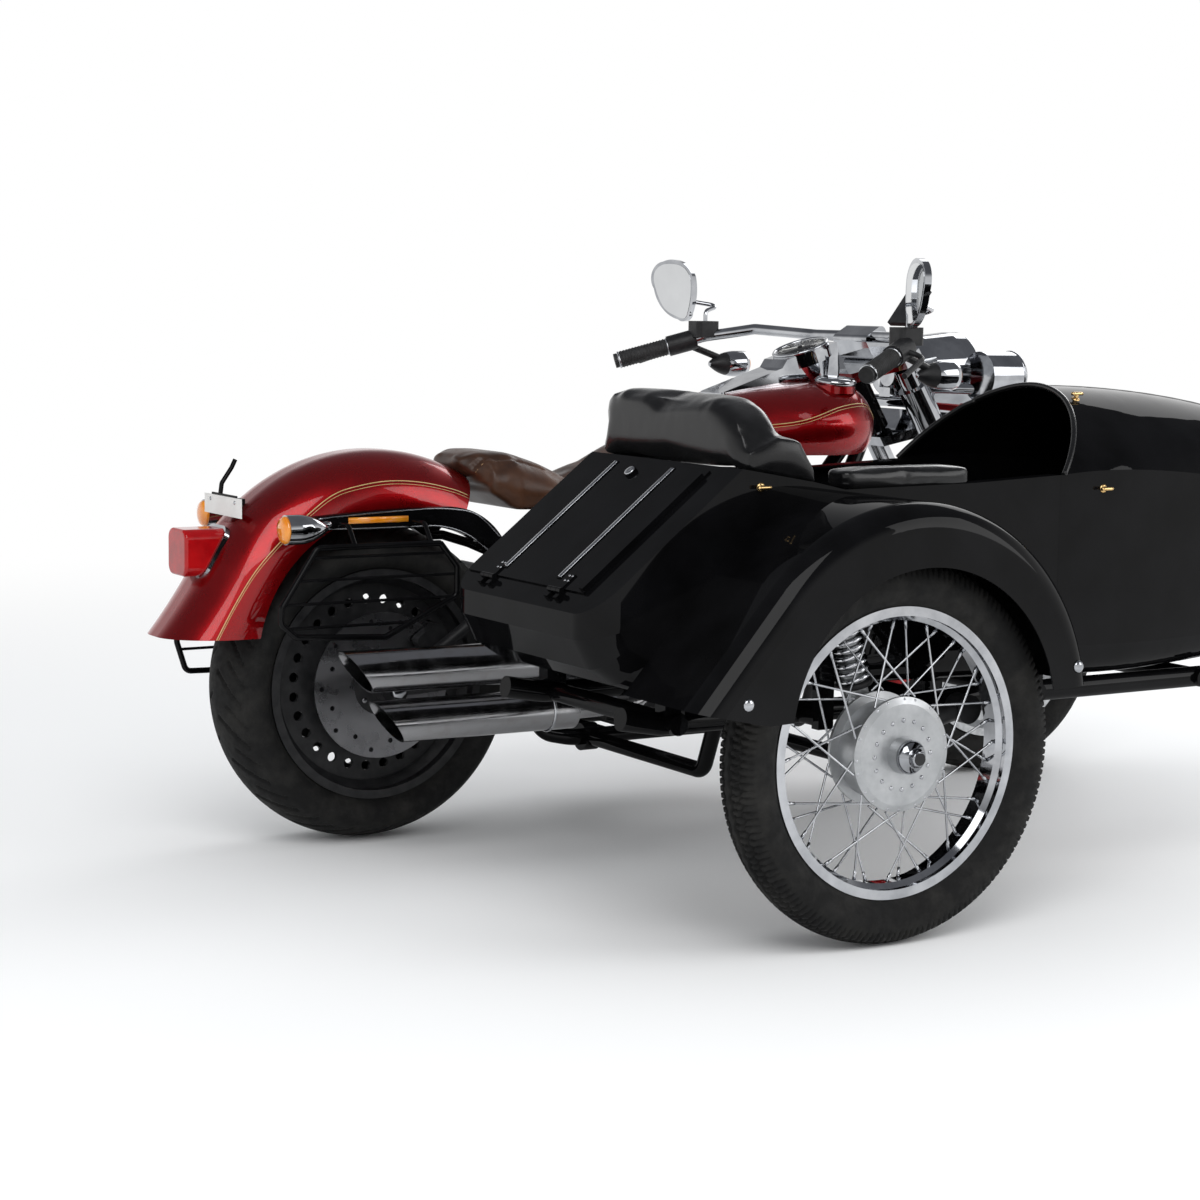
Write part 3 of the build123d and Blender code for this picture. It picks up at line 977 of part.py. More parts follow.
def fork():
    pieces = [bar(head_line(HEAD_LOW_Z - 18), head_line(HEAD_TOP_Z + 16), STEM_R)]
    for clamp_plane in (CLAMP_LOW, CLAMP_TOP):
        pieces.append(clamp_plane * extrude(make_face(Polyline(*CLAMP, close=True)), 12, both=True))
    stud = fork_point(FENDER_STUD_Z)
    for side in (1, -1):
        pieces.append(bar(fork_point(620, side), fork_point(HEAD_TOP_Z + 30, side), FORK_TUBE_R))
        pieces.append(bar(fork_point(300, side), fork_point(640, side), LEG_R))
        pieces.append(bar(fork_point(815, side), fork_point(905, side), COVER_R))
        pieces.append(bar((WHEELBASE, side * 90, FRONT_AXLE[2]), (WHEELBASE, side * 146, FRONT_AXLE[2]), 26))
        pieces.append(bar((stud[0], side * (FRONT_FENDER_HALF_W + SEAT_GAP), stud[2]),
                          (stud[0], side * (FORK_HALF_SPACING - 10), stud[2]), 14))
    pieces.append(bar((WHEELBASE, -150, FRONT_AXLE[2]), (WHEELBASE, 150, FRONT_AXLE[2]), AXLE_R))
    brake = caliper(FRONT_AXLE, FRONT_DISC_Y, FRONT_DISC_R, 113, FRONT_DISC_Y - 17,
                    FORK_HALF_SPACING - LEG_R - SEAT_GAP)
    return {"front_fork": [fuse(*pieces), brake]}


BAR_PATH = [(HEAD_X + dx, y, z) for dx, y, z in (
    (18, 0, 1016), (0, 150, 1016), (-72, 290, 1026), (-147, 392, 1006), (-327, 485, 948))]
BAR_R = 12.5
HOLDER_Y, SIGNAL_FRONT = 330.0, (HEAD_X - 128, 395.0, 942.0)


def mirror_head():
    """A teardrop mirror facing rearward, turned in towards the rider."""
    outline = make_face(
        ThreePointArc((58, 30), (26, 62), (-30, 64))
        + ThreePointArc((-30, 64), (-62, 40), (-56, 0))
        + ThreePointArc((-56, 0), (-26, -50), (18, -72))
        + ThreePointArc((18, -72), (40, -74), (52, -56))
        + ThreePointArc((52, -56), (62, -14), (58, 30)))
    turn = radians(20)
    facing = Plane(origin=(0, 0, 0), x_dir=(sin(turn), -cos(turn), 0),
                   z_dir=(-cos(turn), -sin(turn), 0))
    return facing * extrude(outline, 7, both=True)


def controls():
    left = tube(BAR_PATH, BAR_R, 40)
    riser = fillet(block(-95, -35, -62, 62, 12 + SEAT_GAP, 74).edges().filter_by(Axis.Y), 12)
    riser = CLAMP_TOP * Rot(0, 0, 90) * riser
    handlebar = fuse(left, mirrored(left), riser)
    a, b = Vector(*BAR_PATH[3]), Vector(*BAR_PATH[4])
    run = (b - a).normalized()
    end = (b - a).length

    def on_bar(start, shift=(0, 0, 0)):
        return tuple(a + run * start + Vector(*shift))

    def ring(start, stop, outer):
        return bar(on_bar(start), on_bar(stop), outer)
    bore = tube(BAR_PATH, BAR_R + SEAT_GAP, 40)
    grip = ring(end - 120, end - 1, 19) - bore
    cap = bar(on_bar(end + SEAT_GAP), on_bar(end + 8), 17)
    switch = ring(end - 190, end - 123, 24)
    box_x, box_y, box_z = on_bar(end - 184, (16, -18, 26))
    reservoir = fillet(block(box_x - 30, box_x + 32, box_y - 26, box_y + 26, box_z - 20, box_z + 18)
                       .edges().filter_by(Axis.Z), 12)
    lever = tube([on_bar(end - 150, (14, 10, 4)), on_bar(end - 120, (62, 30, 0)),
                  on_bar(end - 10, (66, 30, -6))], 6, 20)
    lamp_x, lamp_y, lamp_z = SIGNAL_FRONT
    signal = Pos(*SIGNAL_FRONT) * bullet(96, 30)
    stalk = bar(on_bar(end - 176, (0, 0, -12)), (lamp_x + 40, lamp_y, lamp_z + 10), 8)
    cluster = fuse(switch, reservoir, lever, stalk, signal) - bore
    # a device holder on its own clamp, on the right of the bar only
    c, d = Vector(*BAR_PATH[2]), Vector(*BAR_PATH[3])
    at = c + (d - c) * ((HOLDER_Y - c.Y) / (d.Y - c.Y))
    half = (d - c).normalized() * 9
    cradle = Pos(at.X + 2, at.Y - 4, at.Z + 66) * Rot(0, -52, 0) * Box(92, 66, 12)
    holder = (fuse(bar(tuple(at - half), tuple(at + half), 20), cradle,
                   bar(tuple(at), (at.X + 2, at.Y - 4, at.Z + 62), 9)) - bore)
    arm_top = (a.X - 29, 456, 1090)
    stem = tube([(box_x + 6, box_y, box_z + 18 + SEAT_GAP), (box_x + 6, box_y, 1066),
                 (a.X + 50, 408, 1078), (a.X + 5, 436, 1086), arm_top], 5, 12)
    head = Pos(a.X - 39, 464, 1117) * mirror_head()
    return {"handlebar": [handlebar], "handgrips": [*both(grip), *both(cap)],
            "bar_controls": [*both(cluster), mirrored(holder)], "mirrors": both(stem + head)}


LAMP_X, MAIN_LAMP_Z, PASSING_Y = HEAD_X + 136.0, 930.0, 172.0


def fork_bar_end(side):
    """An end of the lamp bar, on the inner side of a fork cover."""
    x, _, z = fork_point(870)
    return (x, side * (FORK_HALF_SPACING - COVER_R - SEAT_GAP), z)


def lamps():
    x, z = LAMP_X, MAIN_LAMP_Z
    shell = revolve(Plane.XZ * make_face(
        Polyline((x, z), (x - 40, z), (x - 40, z + 28), (x - 26, z + 54), (x + 40, z + 88),
                 (x + 120, z + 96), (x + 150, z + 96), (x + 150, z), close=True)),
        Axis((x, 0, z), (1, 0, 0)), 360)
    glass = Pos(x + 150 + SEAT_GAP + 6, 0, z) * Rot(0, 90, 0) * Cylinder(86, 12)
    passing = Pos(x + 132, PASSING_Y, z) * Rot(0, 90, 0) * Cylinder(56, 90)
    passing_glass = Pos(x + 177 + SEAT_GAP + 5, PASSING_Y, z) * Rot(0, 90, 0) * Cylinder(50, 10)
    arm = bar((x + 30, 60, z - 30), (x + 112, PASSING_Y, z - 30), 12)
    body = fuse(shell, passing, mirrored(passing), arm, mirrored(arm),
                bar(fork_bar_end(-1), fork_bar_end(1), 13), block(1322, x + 30, -20, 20, 858, 900))
    return {"headlamps": [body], "lamp_glasses": [glass, *both(passing_glass)]}


def foot_pieces():
    x = DOWNTUBE_LOW[0]
    board = fillet(block(x - 215, x + 55, 195, 300, 292, 308).edges().filter_by(Axis.Z), 30)
    arm = tube([(x - 95, CRADLE_HALF_W + FRAME_TUBE_R + SEAT_GAP, CRADLE_Z), (x - 95, 180, CRADLE_Z),
                (x - 95, 226, 300)], 12, 24)
    return {"footboards": both(board + arm)}


def side_stand():
    x, y, z = STAND_PIVOT
    leg = bar((x, y + 12, z), (x - STAND_REACH + 30, y + 26, z), 11)
    eye = bar((x, y, z), (x, y + STAND_EYE_W, z), 18)
    foot = block(x - STAND_REACH, x - STAND_REACH + 44, y + 10, y + 44, z - 5, z + 5)
    bore = bar((x, y - 5, z), (x, y + STAND_EYE_W + 5, z), STAND_PIN_R + RUN_CLEARANCE)
    return {"side_stand": [fuse(leg, eye, foot) - bore]}


# ---- Struts between the two chassis -------------------------------------------------------
STRUT_R = 16.0


def along(a, b, z):
    """The point at height z on the line from a to b."""
    t = (z - a[2]) / (b[2] - a[2])
    return tuple(p + t * (q - p) for p, q in zip(a, b))


def clamp_ring(at, direction, bore, width=36.0):
    half = Vector(*direction).normalized() * (width / 2)
    a, b = Vector(*at) - half, Vector(*at) + half
    return (bar(tuple(a), tuple(b), bore + 12),
            bar(tuple(a - half), tuple(b + half), bore + SEAT_GAP))


def struts():
    rail_y = RAIL_Y[0]
    near_y, mid_y, low_y = rail_y + 78, rail_y + 140, rail_y + 80
    upright = tuple(p - q for p, q in zip(UPRIGHT_TOP, UPRIGHT_LOW))
    downtube = tuple(p - q for p, q in zip(DOWNTUBE_TOP, DOWNTUBE_LOW))
    rear_up, front_up = along(UPRIGHT_LOW, UPRIGHT_TOP, 480), along(DOWNTUBE_LOW, DOWNTUBE_TOP, 480)
    solids = []
    for path, far, direction, bore in (
        ([(470, rail_y, RAIL_Z), (470, low_y, CRADLE_Z), (470, -CRADLE_HALF_W, CRADLE_Z)],
         (470, -CRADLE_HALF_W, CRADLE_Z), (1, 0, 0), FRAME_TUBE_R),
        ([(820, rail_y, RAIL_Z), (820, low_y, CRADLE_Z), (820, -CRADLE_HALF_W, CRADLE_Z)],
         (820, -CRADLE_HALF_W, CRADLE_Z), (1, 0, 0), FRAME_TUBE_R),
        ([(250, rail_y, RAIL_Z), (252, near_y, 392), (275, mid_y, 436), rear_up],
         rear_up, upright, FRAME_TUBE_R),
        ([(740, rail_y, RAIL_Z), (742, near_y, 392), (790, mid_y, 420), front_up],
         front_up, downtube, FRAME_TUBE_R),
    ):
        near_ring, near_bore = clamp_ring(path[0], (1, 0, 0), RAIL_R)
        far_ring, far_bore = clamp_ring(far, direction, bore)
        solids.append(fuse(tube(path, STRUT_R, 30), near_ring, far_ring) - near_bore - far_bore)
    return {"sidecar_struts": solids}


def build():
    nodes = {}
    for make in (rear_wheel, front_wheel, sidecar_wheel, fenders, sidecar_fender, sidecar_body,
                 boot_lid, sidecar_upholstery, sidecar_chassis, sidecar_suspension, bike_frame,
                 swingarm, engine, drive_belt, tank, rider_seat, rear_end, wheel_guards, exhaust, fork,
                 controls, lamps, foot_pieces, side_stand, struts):
        nodes.update(make())
    return nodes


def write(nodes):
    os.makedirs("parts", exist_ok=True)
    for name, solids in nodes.items():
        moved = [Pos(*ROW_SHIFT) * s for s in in_order(solids)]
        shape = moved[0] if len(moved) == 1 else Compound(children=moved)
        shape.label = name
        export_step(shape, f"parts/{name}.step")


if __name__ == "__main__":
    write(build())
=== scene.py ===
"""A sidecar motorcycle, dressed over its CAD frame: materials, soft goods and small parts."""
import math

import bmesh
import bpy
from mathutils import Matrix, Vector
from mathutils.bvhtree import BVHTree


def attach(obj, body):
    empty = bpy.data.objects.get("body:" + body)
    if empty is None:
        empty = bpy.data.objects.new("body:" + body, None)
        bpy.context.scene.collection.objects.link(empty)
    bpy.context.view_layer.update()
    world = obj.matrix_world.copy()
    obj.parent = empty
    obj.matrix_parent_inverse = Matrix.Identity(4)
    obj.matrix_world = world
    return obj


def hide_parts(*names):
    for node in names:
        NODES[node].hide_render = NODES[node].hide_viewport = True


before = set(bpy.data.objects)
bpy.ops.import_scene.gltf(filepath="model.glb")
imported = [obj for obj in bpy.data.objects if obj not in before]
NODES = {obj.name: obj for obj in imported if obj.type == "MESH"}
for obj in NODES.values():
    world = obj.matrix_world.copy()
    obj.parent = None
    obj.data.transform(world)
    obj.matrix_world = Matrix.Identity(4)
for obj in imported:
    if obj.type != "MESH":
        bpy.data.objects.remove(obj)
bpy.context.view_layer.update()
SHIFT = Vector((-0.746, 0.4005, 0.007))     # from the vehicle's own frame to the row's
SIDES = ((-1, "right"), (1, "left"))
Y_DOWN, Y_UP = Vector((0, -1, 0)), Vector((0, 1, 0))


def at(x, y, z):
    """A point given in millimetres from the rear axle's foot, in the row's metres."""
    return Vector((x, y, z)) / 1000 + SHIFT


def node_mesh(name):
    thing = NODES[name]
    return thing if isinstance(thing, bpy.types.Object) else bpy.data.objects[thing]


# ---- Materials ----------------------------------------------------------------------------
MATERIALS = {}


class Shade:
    """A node material that is built socket by socket."""

    def __init__(self, name, **fixed):
        self.mat = bpy.data.materials.new(name)
        self.mat.use_nodes = True
        self.tree = self.mat.node_tree
        self.bsdf = self.tree.nodes["Principled BSDF"]
        self.coords = self.tree.nodes.new("ShaderNodeTexCoord").outputs["Object"]
        for socket, value in fixed.items():
            self.bsdf.inputs[socket.replace("_", " ")].default_value = value
        MATERIALS[name] = self.mat

    def add(self, kind, **settings):
        node = self.tree.nodes.new("ShaderNode" + kind)
        for key, value in settings.items():
            if key in node.inputs:
                node.inputs[key].default_value = value
            else:
                setattr(node, key, value)
        return node

    def link(self, a, b):
        self.tree.links.new(a, b)
        return b.node

    def noise(self, scale, detail=4.0, rough=0.55, stretch=None):
        node = self.add("TexNoise", Scale=scale, Detail=detail, Roughness=rough)
        source = self.coords
        if stretch:
            mapping = self.add("Mapping")
            mapping.inputs["Scale"].default_value = stretch
            self.link(self.coords, mapping.inputs["Vector"])
            source = mapping.outputs["Vector"]
        self.link(source, node.inputs["Vector"])
        return node.outputs["Fac"]

    def cells(self, scale, feature="F1"):
        node = self.add("TexVoronoi", Scale=scale)
        node.feature = feature
        self.link(self.coords, node.inputs["Vector"])
        return node.outputs["Distance"]

    def remap(self, value, low, high, out_low, out_high):
        node = self.add("MapRange")
        for i, number in enumerate((low, high, out_low, out_high), 1):
            node.inputs[i].default_value = number
        self.link(value, node.inputs[0])
        return node.outputs[0]

    def mix(self, factor, a, b):
        node = self.add("Mix", data_type="RGBA")
        for index, value in ((0, factor), (6, a), (7, b)):
            if isinstance(value, bpy.types.NodeSocket):
                self.link(value, node.inputs[index])
            elif index:
                node.inputs[index].default_value = (*value, 1.0)
            else:
                node.inputs[index].default_value = value
        return node.outputs[2]

    def colour(self, socket):
        self.link(socket, self.bsdf.inputs["Base Color"])

    def roughness(self, value, low, high):
        self.link(self.remap(value, 0.3, 0.7, low, high), self.bsdf.inputs["Roughness"])

    def bump(self, value, strength, distance):
        node = self.add("Bump", Strength=strength, Distance=distance)
        self.link(value, node.inputs["Height"])
        previous = self.bsdf.inputs["Normal"].links
        if previous:
            self.link(previous[0].from_socket, node.inputs["Normal"])
        self.link(node.outputs["Normal"], self.bsdf.inputs["Normal"])


def plain(name, low, high, rough=(0.2, 0.35), scale=30.0, bump=0.0, bump_scale=600.0, **fixed):
    """A surface whose colour and gloss wander between two values."""
    shade = Shade(name, **fixed)
    wander = shade.noise(scale)
    shade.colour(shade.mix(shade.remap(wander, 0.35, 0.65, 0, 1), low, high))
    shade.roughness(shade.noise(scale * 2.3, 6.0), *rough)
    if bump:
        shade.bump(shade.noise(bump_scale, 3.0), bump, 0.001)
    return shade


def build_materials():
    red = Shade("candy_red", Metallic=0.85, Coat_Weight=0.7, Coat_Roughness=0.02,
                Specular_IOR_Level=0.2)
    flake = red.remap(red.cells(2600.0), 0.0, 0.5, 1.0, 0.0)
    red.colour(red.mix(flake, (0.22, 0.001, 0.003), (0.66, 0.006, 0.009)))
    red.roughness(red.noise(18.0), 0.24, 0.34)
    plain("black_paint", (0.002, 0.002, 0.0022), (0.004, 0.004, 0.0045), (0.12, 0.20), 9.0,
          Coat_Weight=0.28, Coat_Roughness=0.02, Specular_IOR_Level=0.0)
    plain("black_satin", (0.008, 0.008, 0.009), (0.018, 0.018, 0.019), (0.34, 0.52), 40.0, 0.12,
          900.0, Specular_IOR_Level=0.3)
    plain("chrome", (0.34, 0.35, 0.37), (0.52, 0.53, 0.55), (0.03, 0.09), 14.0, Metallic=1.0)
    plain("mirror_glass", (0.60, 0.61, 0.62), (0.64, 0.65, 0.66), (0.01, 0.03), 14.0, Metallic=1.0)
    plain("cast_alloy", (0.40, 0.41, 0.42), (0.56, 0.57, 0.58), (0.30, 0.46), 60.0, 0.25, 1400.0,
          Metallic=1.0)
    plain("silver_paint", (0.36, 0.37, 0.38), (0.46, 0.47, 0.48), (0.28, 0.40), 25.0, 0.06, 900.0,
          Metallic=0.8)
    steel = Shade("disc_steel", Metallic=1.0)
    ring = steel.noise(30.0, 2.0)
    steel.colour(steel.mix(ring, (0.20, 0.20, 0.21), (0.25, 0.25, 0.26)))
    steel.roughness(ring, 0.22, 0.36)
    rubber = Shade("tyre_rubber", Specular_IOR_Level=0.15)
    dust = rubber.noise(11.0, 8.0, 0.7)
    rubber.colour(rubber.mix(rubber.remap(dust, 0.45, 0.75, 0, 1), (0.008, 0.008, 0.008),
                             (0.026, 0.025, 0.023)))
    rubber.roughness(rubber.noise(60.0), 0.62, 0.82)
    rubber.bump(rubber.noise(1500.0, 2.0), 0.25, 0.0006)
    plain("rubber_black", (0.012, 0.012, 0.012), (0.024, 0.024, 0.025), (0.55, 0.75), 50.0, 0.3,
          1200.0)
    for name, dark, pale, worn, gloss in (
            ("black_leather", (0.002, 0.002, 0.0024), (0.006, 0.006, 0.0065), (0.016, 0.015, 0.016),
             (0.16, 0.30)),
            ("brown_leather", (0.030, 0.012, 0.006), (0.085, 0.032, 0.013), (0.20, 0.085, 0.035),
             (0.30, 0.48))):
        hide = Shade(name, Sheen_Weight=0.03, Specular_IOR_Level=0.35)
        blotch = hide.noise(8.0, 6.0, 0.65)
        base = hide.mix(hide.remap(blotch, 0.35, 0.65, 0, 1), dark, pale)
        scuff = hide.remap(hide.noise(55.0, 8.0, 0.75), 0.60, 0.74, 0, 0.65)
        hide.colour(hide.mix(scuff, base, worn))
        hide.roughness(blotch, *gloss)
        hide.bump(hide.cells(520.0), 0.16, 0.0005)
        hide.bump(hide.noise(12.0, 2.0, stretch=(1.0, 1.6, 1.0)), 0.16, 0.005)
    plain("red_lens", (0.30, 0.002, 0.004), (0.42, 0.004, 0.006), (0.05, 0.10), 30.0,
          Coat_Weight=0.3, Specular_IOR_Level=0.3)
    plain("amber_lens", (0.75, 0.22, 0.008), (0.86, 0.30, 0.015), (0.05, 0.10), 30.0,
          Coat_Weight=1.0, Subsurface_Weight=0.12)
    plain("lamp_glass", (0.88, 0.90, 0.91), (0.95, 0.96, 0.97), (0.02, 0.06), 30.0,
          Transmission_Weight=0.85, IOR=1.45)
    plain("plate_white", (0.70, 0.70, 0.68), (0.78, 0.78, 0.76), (0.28, 0.42), 12.0)
    plain("brass", (0.62, 0.40, 0.16), (0.78, 0.55, 0.26), (0.18, 0.32), 40.0, Metallic=1.0)
    plain("cream_line", (0.50, 0.34, 0.13), (0.60, 0.43, 0.18), (0.25, 0.35), 60.0,
          Coat_Weight=0.8)
    plain("dial_face", (0.012, 0.012, 0.013), (0.03, 0.03, 0.03), (0.2, 0.35), 40.0)
    plain("dial_mark", (0.80, 0.80, 0.76), (0.88, 0.88, 0.85), (0.3, 0.4), 40.0)
    plain("thread_tan", (0.34, 0.20, 0.09), (0.48, 0.30, 0.15), (0.6, 0.8), 300.0, 0.4, 2500.0)
    plain("spring_chrome", (0.60, 0.61, 0.63), (0.74, 0.75, 0.77), (0.06, 0.14), 60.0,
          Metallic=1.0)
    stained = Shade("heat_chrome", Metallic=1.0)
    axis = stained.add("SeparateXYZ")
    stained.link(stained.coords, axis.inputs[0])
    wobble = stained.add("Math", operation="MULTIPLY_ADD")
    stained.link(stained.noise(7.0, 5.0), wobble.inputs[0])
    wobble.inputs[1].default_value = 0.35
    stained.link(axis.outputs["X"], wobble.inputs[2])
    heat = stained.remap(wobble.outputs[0], -0.10, 0.34, 0, 1)
    warm = stained.mix(heat, (0.40, 0.40, 0.41), (0.22, 0.13, 0.08))
    stained.colour(stained.mix(stained.remap(stained.noise(40.0, 6.0), 0.5, 0.8, 0, 0.5), warm,
                               (0.30, 0.28, 0.26)))
    stained.roughness(stained.noise(30.0, 6.0), 0.07, 0.24)


NODE_MATERIALS = {
    "candy_red": "fuel_tank rear_fender front_fender",
    "black_paint": "bike_frame fender_struts wheel_guards sidecar_body sidecar_fender boot_lid "
                   "sidecar_chassis sidecar_struts",
    "black_satin": "swingarm engine_case engine_cylinders bar_controls sidecar_swingarm side_stand "
                   "rear_wheel_disc",
    "chrome": "rocker_covers engine_covers tank_console tail_lamp rear_indicators front_fork "
              "handlebar mirrors headlamps sidecar_rim sidecar_spokes",
    "heat_chrome": "mufflers header_pipes",
    "silver_paint": "sidecar_hub sidecar_shock",
    "cast_alloy": "front_wheel_disc",
    "disc_steel": "rear_brake_disc front_brake_disc",
    "rubber_black": "handgrips footboards drive_belt",
    "red_lens": "tail_lens",
    "lamp_glass": "lamp_glasses",
    "plate_white": "number_plate",
    "tyre_rubber": "rear_tyre front_tyre sidecar_tyre",
    "black_leather": "sidecar_seat sidecar_squab sidecar_backrest sidecar_armrest",
    "brown_leather": "rider_seat",
}


def dress_nodes():
    for material, names in NODE_MATERIALS.items():
        for name in names.split():
            slots = node_mesh(name).material_slots
            if not slots:
                raise RuntimeError("no slot on " + name)
            for slot in slots:
                slot.material = MATERIALS[material]


# ---- Mesh helpers -------------------------------------------------------------------------
def piece(name, verts, faces, material, body, slot, smooth=True, replaces=()):
    mesh = bpy.data.meshes.new(name)
    mesh.from_pydata([tuple(v) for v in verts], [], faces)
    bm = bmesh.new()
    bm.from_mesh(mesh)
    bmesh.ops.recalc_face_normals(bm, faces=bm.faces)
    bm.to_mesh(mesh)
    bm.free()
    obj = bpy.data.objects.new(name, mesh)
    bpy.context.scene.collection.objects.link(obj)
    return finish_piece(obj, material, body, smooth, replaces)


def finish_piece(obj, material, body, smooth=True, replaces=()):
    obj.data.materials.clear()
    obj.data.materials.append(MATERIALS[material])
    obj.data.polygons.foreach_set("use_smooth", [smooth] * len(obj.data.polygons))
    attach(obj, body)
    if replaces:
        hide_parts(*replaces)
    return obj


def merged(parts):
    """Several (verts, faces) lists as one."""
    verts, faces = [], []
    for some_verts, some_faces in parts:
        base = len(verts)
        verts += some_verts
        faces += [tuple(i + base for i in face) for face in some_faces]
    return verts, faces


def smooth_line(points, per=8, closed=False):
    """Points along a Catmull-Rom curve through the given ones."""
    points = [Vector(p) for p in points]
    count = len(points)
    out = []
    for i in range(count if closed else count - 1):
        four = [points[(i + k) % count] if closed else points[min(max(i + k, 0), count - 1)]
                for k in (-1, 0, 1, 2)]
        a, b, c, d = four
        for step in range(per):
            t = step / per
            out.append(0.5 * (2 * b + (c - a) * t + (2 * a - 5 * b + 4 * c - d) * t * t
                              + (3 * b - a - 3 * c + d) * t ** 3))
    if not closed:
        out.append(points[-1])
    return out


def tube(points, radius, sides=8, closed=False, squash=1.0, up=None):
    """Verts and faces of a tube along points, flattened by squash along `up`."""
    count = len(points)
    verts, faces = [], []
    normal = None
    for i, point in enumerate(points):
        ahead = points[(i + 1) % count] if closed or i < count - 1 else point
        behind = points[i - 1] if closed or i else point
        along = (ahead - behind).normalized()
        if up is not None:
            normal = Vector(up[i]) if isinstance(up, list) else Vector(up)
        elif normal is None:
            normal = along.orthogonal()
        normal = (normal - along * normal.dot(along)).normalized()
        side = along.cross(normal)
        for k in range(sides):
            angle = 2 * math.pi * k / sides
            verts.append(point + side * (radius * math.cos(angle))
                         + normal * (radius * squash * math.sin(angle)))
    rings = count if closed else count - 1
    for i in range(rings):
        j = (i + 1) % count
        for k in range(sides):
            n = (k + 1) % sides
            faces.append((i * sides + k, i * sides + n, j * sides + n, j * sides + k))
    if not closed:
        faces.append(tuple(range(sides)))
        faces.append(tuple(range((count - 1) * sides, count * sides)))
    return verts, faces


def across(axis):
    """The unit axis and two directions square to it."""
    axis = Vector(axis).normalized()
    side = axis.orthogonal().normalized()
    return axis, side, axis.cross(side)


def spun(profile, centre, axis, steps=32):
    """A closed solid of revolution: profile is (distance along axis, radius) pairs."""
    axis, side, other = across(axis)
    verts, faces = [], []
    size = len(profile)
    for k in range(steps):
        angle = 2 * math.pi * k / steps
        out = side * math.cos(angle) + other * math.sin(angle)
        verts += [centre + axis * s + out * r for s, r in profile]
    for k in range(steps):
        n = (k + 1) % steps
        for i in range(size - 1):
            faces.append((k * size + i, k * size + i + 1, n * size + i + 1, n * size + i))
    faces.append(tuple(k * size for k in range(steps)))
    faces.append(tuple(k * size + size - 1 for k in range(steps)))
    return verts, faces


def bolt(centre, axis, radius, height, hexed=False):
    """A domed or hexagonal head, sunk a little into its seat."""
    if hexed:
        profile = [(-0.4 * height, radius), (0.8 * height, radius), (height, 0.82 * radius)]
        return spun(profile, centre, axis, 6)
    profile = [(-0.4 * height, radius)] + [
        (height * math.sin(a), radius * math.cos(a)) for a in (0.0, 0.35, 0.7, 1.05, 1.35)]
    return spun(profile, centre, axis, 14)


def tree_of(obj):
    return BVHTree.FromPolygons([v.co.copy() for v in obj.data.vertices],
                                [tuple(p.vertices) for p in obj.data.polygons])


def laid_on(tree, points, direction, lift):
    """Each point moved along direction onto the tree's surface, with the surface's normal."""
    direction = Vector(direction).normalized()
    found = []
    for point in points:
        hit, normal, _, _ = tree.ray_cast(point - direction * 0.4, direction)
        if hit is None:
            continue
        if normal.dot(direction) > 0:
            normal = -normal
        found.append((hit + normal * lift, normal))
    return found


def line_on(name, node, points, direction, width, material, body, slot, lift=0.0004, per=8):
    """A painted or trimmed line that lies on a node's surface."""
    found = laid_on(tree_of(node_mesh(node)), smooth_line(points, per), direction, lift)
    verts, faces = tube([p for p, _ in found], width / 2, 6, squash=0.35,
                        up=[n for _, n in found])
    return piece(name, verts, faces, material, body, slot)


# ---- Tyres --------------------------------------------------------------------------------
SEAT_GAP = 0.3                               # between a tyre's bead and its rim
REAR_AXLE, FRONT_AXLE, SIDECAR_AXLE = (0, 0, 315.0), (1635.0, 0, 312.0), (413.0, -1218.0, 329.0)


def arc_through(a, b, c, count):
    """Points on the circular arc from a through b to c."""
    (ax, ay), (bx, by), (cx, cy) = a, b, c
    d = 2 * (ax * (by - cy) + bx * (cy - ay) + cx * (ay - by))
    ux = ((ax * ax + ay * ay) * (by - cy) + (bx * bx + by * by) * (cy - ay)
          + (cx * cx + cy * cy) * (ay - by)) / d
    uy = ((ax * ax + ay * ay) * (cx - bx) + (bx * bx + by * by) * (ax - cx)
          + (cx * cx + cy * cy) * (bx - ax)) / d
    r = math.hypot(ax - ux, ay - uy)
    t0, t1, t2 = (math.atan2(y - uy, x - ux) for x, y in (a, b, c))
    turn = (t2 - t0) % (2 * math.pi)
    if (t1 - t0) % (2 * math.pi) > turn:
        turn -= 2 * math.pi
    return [(ux + r * math.cos(t0 + turn * i / count), uy + r * math.sin(t0 + turn * i / count))
            for i in range(count + 1)]


def treaded_tyre(name, node, body, centre, radius, width, seat_r, flange_h, bead_half, around,
                 groove):
    """A tyre of the CAD solid's own section, with grooves cut into its tread."""
    bead_r, low_r = seat_r + SEAT_GAP, seat_r + flange_h + 1.0
    shoulder_r, shoulder_y = radius - 0.13 * width, 0.40 * width
    mid_r = (low_r + shoulder_r) / 2
    wall = arc_through((-bead_half, low_r), (-width / 2, mid_r), (-shoulder_y, shoulder_r), 9)
    crown = arc_through((-shoulder_y, shoulder_r), (0.0, radius), (shoulder_y, shoulder_r), 44)
    far = [(-y, r) for y, r in reversed(wall)]
    profile = [(-bead_half, bead_r)] + wall + crown[1:-1] + far + [(bead_half, bead_r)]
    first, last = 1 + len(wall) - 2, 1 + len(wall) + len(crown) - 1
    verts, faces = [], []
    size = len(profile)
    for k in range(around):
        angle = 2 * math.pi * k / around
        for i, (y, r) in enumerate(profile):
            if first <= i <= last:
                r -= groove(angle * radius, y)
            verts.append(at(centre[0] + r * math.cos(angle), centre[1] + y,
                            centre[2] + r * math.sin(angle)))
    for k in range(around):
        n = (k + 1) % around
        for i in range(size):
            j = (i + 1) % size
            faces.append((k * size + i, k * size + j, n * size + j, n * size + i))
    return piece(name, verts, faces, "tyre_rubber", body, "tyre", replaces=(node,))


